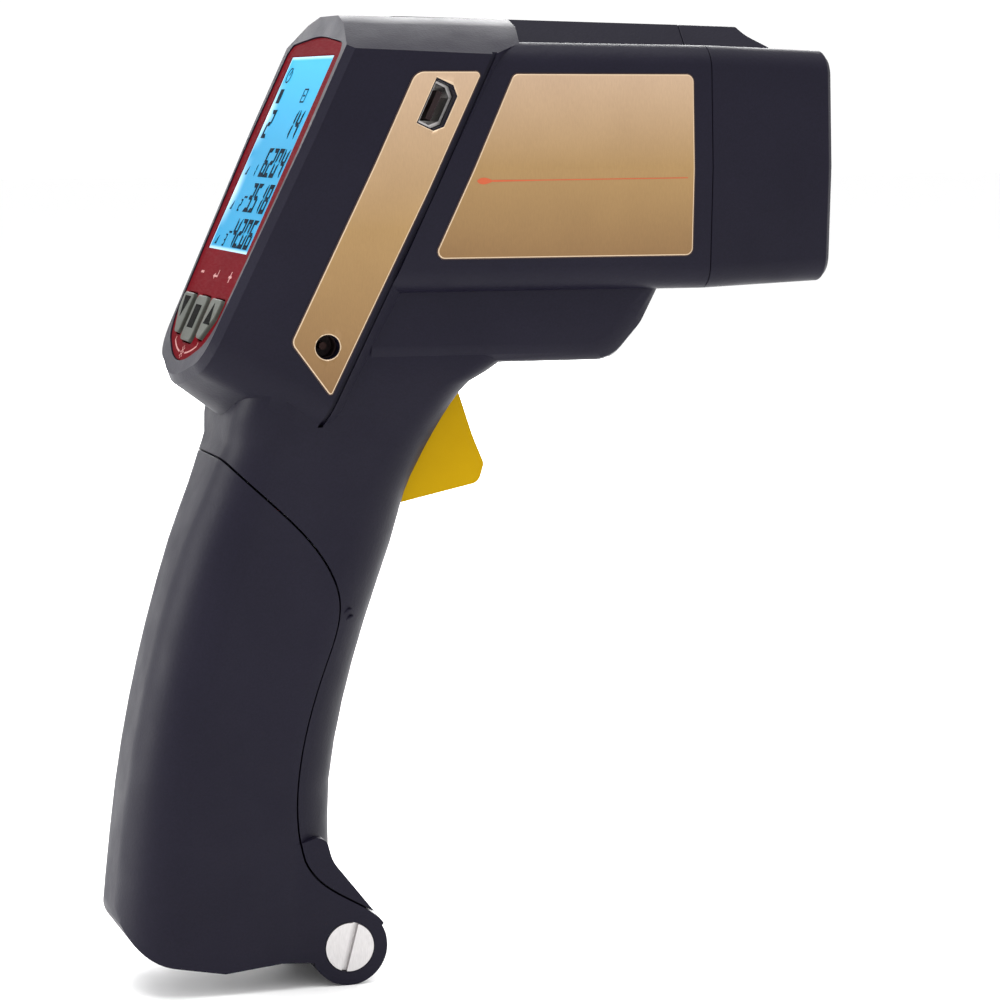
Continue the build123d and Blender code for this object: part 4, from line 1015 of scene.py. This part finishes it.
@dataclass
class Labels:
    """The four labels and the outlines that they are cut to."""

    strip_foil: GoldFoil = GoldFoil("strip foil", 104.0, 159.0)
    barrel_foil: GoldFoil = GoldFoil("barrel foil", 124.0, 159.0)
    strip_depths: tuple[float, float] = (-9.95, -20.2)
    strip_radii: tuple[float, ...] = (2.4, 1.6, 0.4, 0.6)
    strip_ends: tuple[float, float, float, float] = (20.8, 25.6, -34.4, -29.0)
    barrel_corners: tuple[tuple[float, float], ...] = (
        (4.2, 157.4), (-10.0, 126.5), (36.6, 126.5), (36.6, 157.4)
    )
    barrel_radii: tuple[float, ...] = (1.2,) * 4
    usb_along: float = 17.3
    usb_mouth: tuple[float, float, float] = (4.2, 2.3, 1.4)
    round_along: float = -27.1
    round_radius: float = 2.12
    socket_depth: float = -15.8

    def strip_corners(self) -> np.ndarray:
        """Corners of the strip in x and z, anticlockwise as seen from the right."""
        near, far = self.strip_depths
        top_near, top_far, tip, bend = self.strip_ends
        places = ((top_near, near), (bend, near), (tip, far + 0.3), (top_far, far))
        return np.array([DISPLAY.side_place(along, out) for along, out in places])

    def usb_hole(self) -> np.ndarray:
        """Outline of the small socket's hole: a rectangle with its two forward corners cut."""
        long, short, cut = self.usb_mouth
        places = [(-long, short), (-long, cut - short), (cut - long, -short)]
        places += [(long - cut, -short), (long, cut - short), (long, short)]
        return np.array([DISPLAY.side_place(self.usb_along + u, self.socket_depth + n) for u, n in places])

    def round_hole(self) -> np.ndarray:
        """Outline of the round socket's hole."""
        return circle(*DISPLAY.side_place(self.round_along, self.socket_depth), self.round_radius, 48)

    def build(self) -> None:
        """Builds both labels of both sides, with the sockets' holes on the right."""
        strip, panel = self.strip_corners(), np.array(self.barrel_corners)
        for side in Side:
            word = side.name.lower()
            holes = [self.usb_hole(), self.round_hole()] if side is Side.RIGHT else []
            names = f"{word}_gold_strip", f"{word}_strip_label"
            StripLabel(*names, side, self.strip_foil, strip, self.strip_radii, holes).build()
            names = f"{word}_gold_label", f"{word}_barrel_label"
            label = BarrelLabel(*names, side, self.barrel_foil, panel, self.barrel_radii)
            label.build()
            label.rule()


@dataclass
class Figures:
    """Seven-stroke figures leaning to the right."""

    wide: float = 3.0
    high: float = 5.4
    thick: float = 0.82
    gap: float = 0.04
    lean: float = 0.1
    lit: tuple[str, ...] = tuple("abcdef bc abged abgcd fgbc afgcd afgedc abc abcdefg abfgcd".split())

    def outline(self, segment: Segment) -> np.ndarray:
        """Outline of one stroke about the figure's middle, before it leans.

        Args:
            segment: The stroke.

        Returns:
            Its points: mitred ends for the outer strokes, pointed ends for the middle one.
        """
        half, tall, t, g = self.wide / 2, self.high / 2, self.thick, self.gap
        if segment is Segment.MIDDLE:
            tip, root, rim = half - t / 2 - g, half - t - g, t / 2
            return np.array([[-tip, 0], [-root, rim], [root, rim], [tip, 0], [root, -rim], [-root, -rim]])
        if segment in (Segment.TOP, Segment.FOOT):
            wide, low = half - g, tall - t
            points = np.array([[-wide, tall], [wide, tall], [wide - t, low], [t - wide, low]])
            return points * (1, 1 if segment is Segment.TOP else -1)
        upright = np.array([[-half, tall - g], [t - half, tall - g - t], [t - half, t / 2 + g], [-half, g]])
        right = segment in (Segment.UPPER_RIGHT, Segment.LOWER_RIGHT)
        low = segment in (Segment.LOWER_LEFT, Segment.LOWER_RIGHT)
        return upright * (-1 if right else 1, -1 if low else 1)

    def draw(self, slabs: Slabs, figure: str, across: float, along: float, scale: float = 1.0) -> None:
        """Adds a figure's lit strokes about a middle.

        Args:
            slabs: What collects them.
            figure: A digit.
            across: The figure's middle.
            along: The figure's middle.
            scale: Its size against the full one.
        """
        for segment in Segment:
            if segment.value in self.lit[int(figure)]:
                points = self.outline(segment) * scale
                points[:, 0] += points[:, 1] * self.lean
                slabs.plate(points + (across, along))


@dataclass
class DisplayReadout:
    """What the display shows: a round mark, two boxes, a channel row and three rows of figures."""

    figures: Figures = field(default_factory=Figures)
    columns: tuple[float, ...] = (-0.25, 3.5, 7.35, 11.25)
    rows: tuple[tuple[float, str, int, bool], ...] = (
        (-1.7, "6204", 0, False),
        (-8.3, "3518", 0, True),
        (-14.9, "4206", 1, True),
    )
    row_mark: float = -11.2
    row_number: float = -5.5
    top_row: tuple[tuple[float, str], ...] = ((-10.3, "2"), (5.6, "1"), (9.6, "4"))
    top_height: float = 5.5
    face_size: tuple[float, float] = (28.64, 36.64)
    ink: float = 0.05
    minus: tuple[float, float, float] = (-3.6, 1.9, 0.36)
    point_offset: tuple[float, float] = (-0.35, -2.42)
    point_size: float = 0.52
    small: float = 0.42
    small_drop: float = 1.55
    triangle: tuple[tuple[float, float], ...] = ((-0.7, -0.8), (0.55, -0.8), (0.75, 0.85))
    triangle_drop: float = 1.7
    triangle_hole: float = 0.45
    full_box: tuple[float, float, float, float] = (-11.2, 10.8, 2.3, 2.7)
    barred_box: tuple[float, float] = (5.7, 10.9)
    box_sides: tuple[float, float] = (2.6, 2.1)
    box_bar: tuple[float, float] = (1.1, 0.3)
    dial: tuple[float, float, float] = (-11.0, 14.8, 1.35)
    dial_arc: tuple[float, float, int] = (80.0, 395.0, 48)
    dial_line: float = 0.26
    hand_lean: float = 0.9

    def build(self) -> None:
        """Lays the lit face in the plate's window and draws the readout on it."""
        face = Slabs(DISPLAY.window, DISPLAY.face)
        face.plate(rectangle(0.0, 0.0, *self.face_size))
        DRESSER.settle(face.piece("display_face"), LCD, Body.CASE, "display_blue")
        slabs = Slabs(DISPLAY.face, DISPLAY.face + self.ink)
        for number, (along, text, point, minus) in enumerate(self.rows, 1):
            self.row(slabs, along, text, point, minus, str(number))
        for across, figure in self.top_row:
            self.figures.draw(slabs, figure, across, self.top_height)
        self.round_mark(slabs)
        slabs.plate(rectangle(*self.full_box))
        slabs.band(*(rectangle(*self.barred_box, side, side) for side in self.box_sides))
        slabs.plate(rectangle(*self.barred_box, *self.box_bar))
        DRESSER.settle(slabs.piece("display_readout"), SEGMENT_INK, Body.CASE, "part_black")

    def row(self, slabs: Slabs, along: float, text: str, point: int, minus: bool, number: str) -> None:
        """Draws one row: its triangle, its small number, any minus sign, four figures and the point.

        Args:
            slabs: What collects the strokes.
            along: The row's height.
            text: Four figures.
            point: The column that the point follows.
            minus: Whether a minus sign stands before them.
            number: The row's number.
        """
        for across, figure in zip(self.columns, text):
            self.figures.draw(slabs, figure, across, along)
        aside, drop = self.point_offset
        between = (self.columns[point] + self.columns[point + 1]) / 2
        slabs.plate(rectangle(between + aside, along + drop, self.point_size, self.point_size))
        if minus:
            across, wide, high = self.minus
            slabs.plate(rectangle(across, along, wide, high))
        self.figures.draw(slabs, number, self.row_number, along - self.small_drop, self.small)
        outer = np.array(self.triangle) + (self.row_mark, along - self.triangle_drop)
        slabs.band(outer, outer * self.triangle_hole + outer.mean(axis=0) * (1 - self.triangle_hole))

    def round_mark(self, slabs: Slabs) -> None:
        """Draws a round dial with a gap at its top right and one hand through the gap.

        Args:
            slabs: What collects the strokes.
        """
        across, along, radius = self.dial
        turn = np.radians(np.linspace(*self.dial_arc))
        hand = np.array([[0.0, 0.0], [self.hand_lean, radius]])
        for line in (np.stack([np.cos(turn), np.sin(turn)], axis=1) * radius, hand):
            slabs.plate(stroke(line + (across, along), self.dial_line))


@dataclass
class Key:
    """One key with the symbol on its top."""

    node: str
    body: Body
    symbol: np.ndarray
    edge: float = 0.35
    rise: float = 0.8
    ink_span: tuple[float, float] = (-0.05, 0.03)

    def build(self) -> None:
        """Builds the key and its symbol, which ride together."""
        cap = self.node, f"{self.node}_cap", KEY_GREY, self.body, "key_grey"
        SoftCopy(*cap, self.edge, raised=self.rise).build()
        slabs = Slabs(*(DISPLAY.key_top + height for height in self.ink_span))
        slabs.plate(self.symbol)
        DRESSER.settle(slabs.piece(f"{self.node}_symbol"), KEY_INK, self.body, "part_black")


@dataclass
class KeyPad:
    """Red plate with its printed marks, and the three keys that stand through it."""

    plate_edge: float = 0.15
    plate_rise: float = 0.9
    ink: float = 0.03
    row: float = -29.7
    square_drop: float = 1.2
    symbol_size: tuple[float, float] = (4.6, 4.0)
    square_size: float = 4.3
    symbol_round: float = 0.15
    reach: float = 10.5
    caption: float = -22.8
    line: float = 0.3
    bracket_radius: float = 20.6
    bracket_middle: float = -16.9
    bracket_span: tuple[float, float] = (2.0, 8.4)
    bracket_top: float = -35.0
    bracket_steps: int = 16
    sun_rise: float = 0.15
    sun_ring: tuple[float, float, int] = (0.55, 0.32, 24)
    sun_ray: tuple[float, float, float] = (0.78, 1.2, 0.2)
    bar: tuple[float, float] = (2.0, 0.42)
    bar_ends: tuple[float, float, float] = (0.6, 0.42, 0.78)
    arrow_head: tuple[tuple[float, float], ...] = ((-1.6, 0.0), (-0.5, -0.55), (-0.5, 0.55))
    arrow_drop: float = 0.3
    arrow_shaft: tuple[float, float, float, float] = (0.45, -0.3, 1.9, 0.34)
    arrow_tail: tuple[float, float, float, float] = (1.4, 0.2, 0.34, 1.34)

    def build(self) -> None:
        """Builds the plate, the print and the keys."""
        plate = "bezel_plate", "red_bezel", RED, Body.CASE, "bezel_red"
        SoftCopy(*plate, self.plate_edge, raised=self.plate_rise).build()
        arrow = np.array([[-0.5, -0.5], [0.5, -0.5], [0.0, 0.5]]) * self.symbol_size
        up = rounded_outline(arrow, (self.symbol_round,) * 3)
        square = rectangle(0.0, 0.0, self.square_size, self.square_size)
        square = rounded_outline(square, (self.symbol_round,) * 4)
        Key("key_down", Body.KEY_DOWN, -up + (-self.reach, self.row)).build()
        Key("key_centre", Body.KEY_CENTRE, square + (0.0, self.row - self.square_drop)).build()
        Key("key_up", Body.KEY_UP, up + (self.reach, self.row)).build()
        DRESSER.settle(self.print_marks(), PALE_INK, Body.CASE, "part_white")

    def print_marks(self) -> bpy.types.Object:
        """Draws the bracket with its sun below the keys, and a mark above each key.

        Returns:
            The print as one piece.
        """
        slabs = Slabs(DISPLAY.plate - self.ink, DISPLAY.plate + self.ink)
        middle = np.array([0.0, self.bracket_middle])
        inner, outer = (math.asin(reach / self.bracket_radius) for reach in self.bracket_span)
        angle = np.linspace(outer, inner, self.bracket_steps)
        for side in (-1, 1):
            arc = middle + self.bracket_radius * np.stack([side * np.sin(angle), -np.cos(angle)], axis=1)
            top = (side * self.bracket_span[1], self.bracket_top)
            slabs.plate(stroke(np.concatenate([[top], arc]), self.line))
        self.sun(slabs, middle - (0.0, self.bracket_radius - self.sun_rise))
        for across in (-self.reach, self.reach):
            slabs.plate(rectangle(across, self.caption, *self.bar))
        offset, wide, high = self.bar_ends
        for end in (-offset, offset):
            slabs.plate(rectangle(self.reach, self.caption + end, wide, high))
        self.return_arrow(slabs)
        return slabs.piece("plate_print")

    def sun(self, slabs: Slabs, middle: np.ndarray) -> None:
        """Draws a small ring with eight rays.

        Args:
            slabs: What collects the strokes.
            middle: The ring's middle.
        """
        outer, inner, count = self.sun_ring
        near, far, wide = self.sun_ray
        slabs.band(circle(*middle, outer, count), circle(*middle, inner, count))
        for turn in np.radians(np.arange(0.0, 360.0, 45.0)):
            ray = np.array([math.cos(turn), math.sin(turn)])
            slabs.plate(stroke(np.array([middle + ray * near, middle + ray * far]), wide))

    def return_arrow(self, slabs: Slabs) -> None:
        """Draws an arrow that comes down at the right and points left.

        Args:
            slabs: What collects the strokes.
        """
        slabs.plate(np.array(self.arrow_head) + (0.0, self.caption - self.arrow_drop))
        for across, rise, wide, high in (self.arrow_shaft, self.arrow_tail):
            slabs.plate(rectangle(across, self.caption + rise, wide, high))


@dataclass
class Hinge:
    """Screw and nut that the grip's cover turns on."""

    edge: float = 0.25

    def build(self) -> None:
        """Builds both heads with softened rims."""
        for node in ("hinge_screw", "hinge_nut"):
            SoftCopy(node, f"cover_{node}", SCREW_FACE, Body.CASE, "steel", self.edge).build()


@dataclass
class InnerParts:
    """Everything inside the case and behind the cap, seen with the cover or the cap open."""

    kept: tuple[tuple[Finish, tuple[str, ...]], ...] = (
        (TILE, ("white_tile",)),
        (STEEL, ("trigger_pin", "trigger_spring", "board_screws", "housing_screws")),
        (STEEL, ("usb_shell", "battery_terminals")),
        # Pin coloured dark as painted shade in the socket's hole.
        (PIN_IN_PAINTED_SHADE, ("dc_pin",)),
        (BLACK, ("trigger_switch", "lcd_frame", "board_chips", "buzzer", "nose", "optics_tube")),
        (BLACK, ("colour_sensor", "battery_snap", "battery_tray")),
        (SOCKET_BROWN, ("dc_socket", "usb_tongue")),
        (WHITE, ("switch_plunger", "backlight")),
        (CLEAR, ("display_window", "nose_window", "collecting_lens")),
        (LAMP, ("lamps",)),
        (RUBBER, ("key_mat", "contact_strips")),
        (LCD, ("lcd_glass",)),
        (BOARD, ("display_board", "main_board", "lamp_board", "sensor_board")),
        (CELL, ("battery",)),
    )

    def build(self) -> None:
        """Dresses the parts whose shape stays and builds the soft ones."""
        for finish, nodes in self.kept:
            DRESSER.paint(finish, *nodes)
        SoftCopy("battery_pad", "battery_foam", FOAM, Body.COVER, "pad_foam", 0.6).build()
        SoftCopy("ribbon_cable", "flat_cable", FLAT_CABLE, Body.CASE, "part_white", 0.05).build()
        for colour, finish in (("red", RED_LEAD), ("black", BLACK_LEAD)):
            lead = f"battery_lead_{colour}", f"{colour}_battery_lead", finish, Body.CASE, f"lead_{colour}"
            SoftCopy(*lead, 0.05, 50.0).build()


@dataclass
class Studio:
    """Pale floor, soft lights and the camera."""

    floor_reach: float = 6.0
    eye: Colour = (-0.165, -0.5395, 0.15245)
    turn: float = math.radians(17.85)
    down: float = math.radians(7.06)
    lens: float = 115.2
    sensor: float = 36.0
    clip: tuple[float, float] = (0.02, 20.0)
    aim: Colour = (0.0, 0.0, 0.09)
    sky: float = 1.06
    lights: tuple[tuple[str, Colour, float, float], ...] = (
        ("top light", (-0.15, -0.10, 1.2), 0.8, 11.0),
        ("left light", (-1.1, 0.35, 0.3), 0.6, 8.0),
        ("back light", (0.35, 1.25, 0.35), 1.0, 30.0),
    )

    def build(self) -> None:
        """Sets the stage."""
        self.lay_floor()
        self.hang_lights()
        self.stand_camera()

    def lay_floor(self) -> None:
        """Lays the floor at height zero."""
        corners = rectangle(0.0, 0.0, 2 * self.floor_reach, 2 * self.floor_reach)
        floor = make_piece("floor", np.column_stack([corners, np.zeros(4)]), [range(4)])
        floor.data.materials.append(DRESSER.material(FLOOR_PAINT))

    def hang_lights(self) -> None:
        """Lights the sky evenly and hangs the soft boxes, turned to the object's middle."""
        scene = bpy.context.scene
        world = bpy.data.worlds.new("studio")
        world.use_nodes = True
        sky = world.node_tree.nodes["Background"]
        sky.inputs["Color"].default_value = (1.0, 1.0, 1.0, 1.0)
        sky.inputs["Strength"].default_value = self.sky
        scene.world = world
        scene.view_settings.view_transform = "Standard"
        for name, place, size, power in self.lights:
            light = bpy.data.lights.new(name, "AREA")
            light.size = size
            light.energy = power
            lamp = bpy.data.objects.new(name, light)
            lamp.location = place
            lamp.rotation_euler = (Vector(self.aim) - Vector(place)).to_track_quat("-Z", "Y").to_euler()
            scene.collection.objects.link(lamp)

    def stand_camera(self) -> None:
        """Stands the camera where the photographer's stood."""
        data = bpy.data.cameras.new("camera")
        data.lens = self.lens
        data.sensor_width = self.sensor
        data.clip_start, data.clip_end = self.clip
        camera = bpy.data.objects.new("camera", data)
        camera.location = self.eye
        flat = math.cos(self.down)
        look = Vector((math.sin(self.turn) * flat, math.cos(self.turn) * flat, -math.sin(self.down)))
        camera.rotation_mode = "QUATERNION"
        camera.rotation_quaternion = look.to_track_quat("-Z", "Y")
        bpy.context.scene.collection.objects.link(camera)
        bpy.context.scene.camera = camera


def main() -> None:
    """Builds and dresses every sub-assembly in order."""
    logging.basicConfig(level=logging.INFO, format="%(message)s")
    for kind in (CaseSkin, CoverNibs, Labels, DisplayReadout, KeyPad, Hinge, InnerParts, Studio):
        LOG.info("building %s", kind.__name__)
        kind().build()


if __name__ == "__main__":
    main()
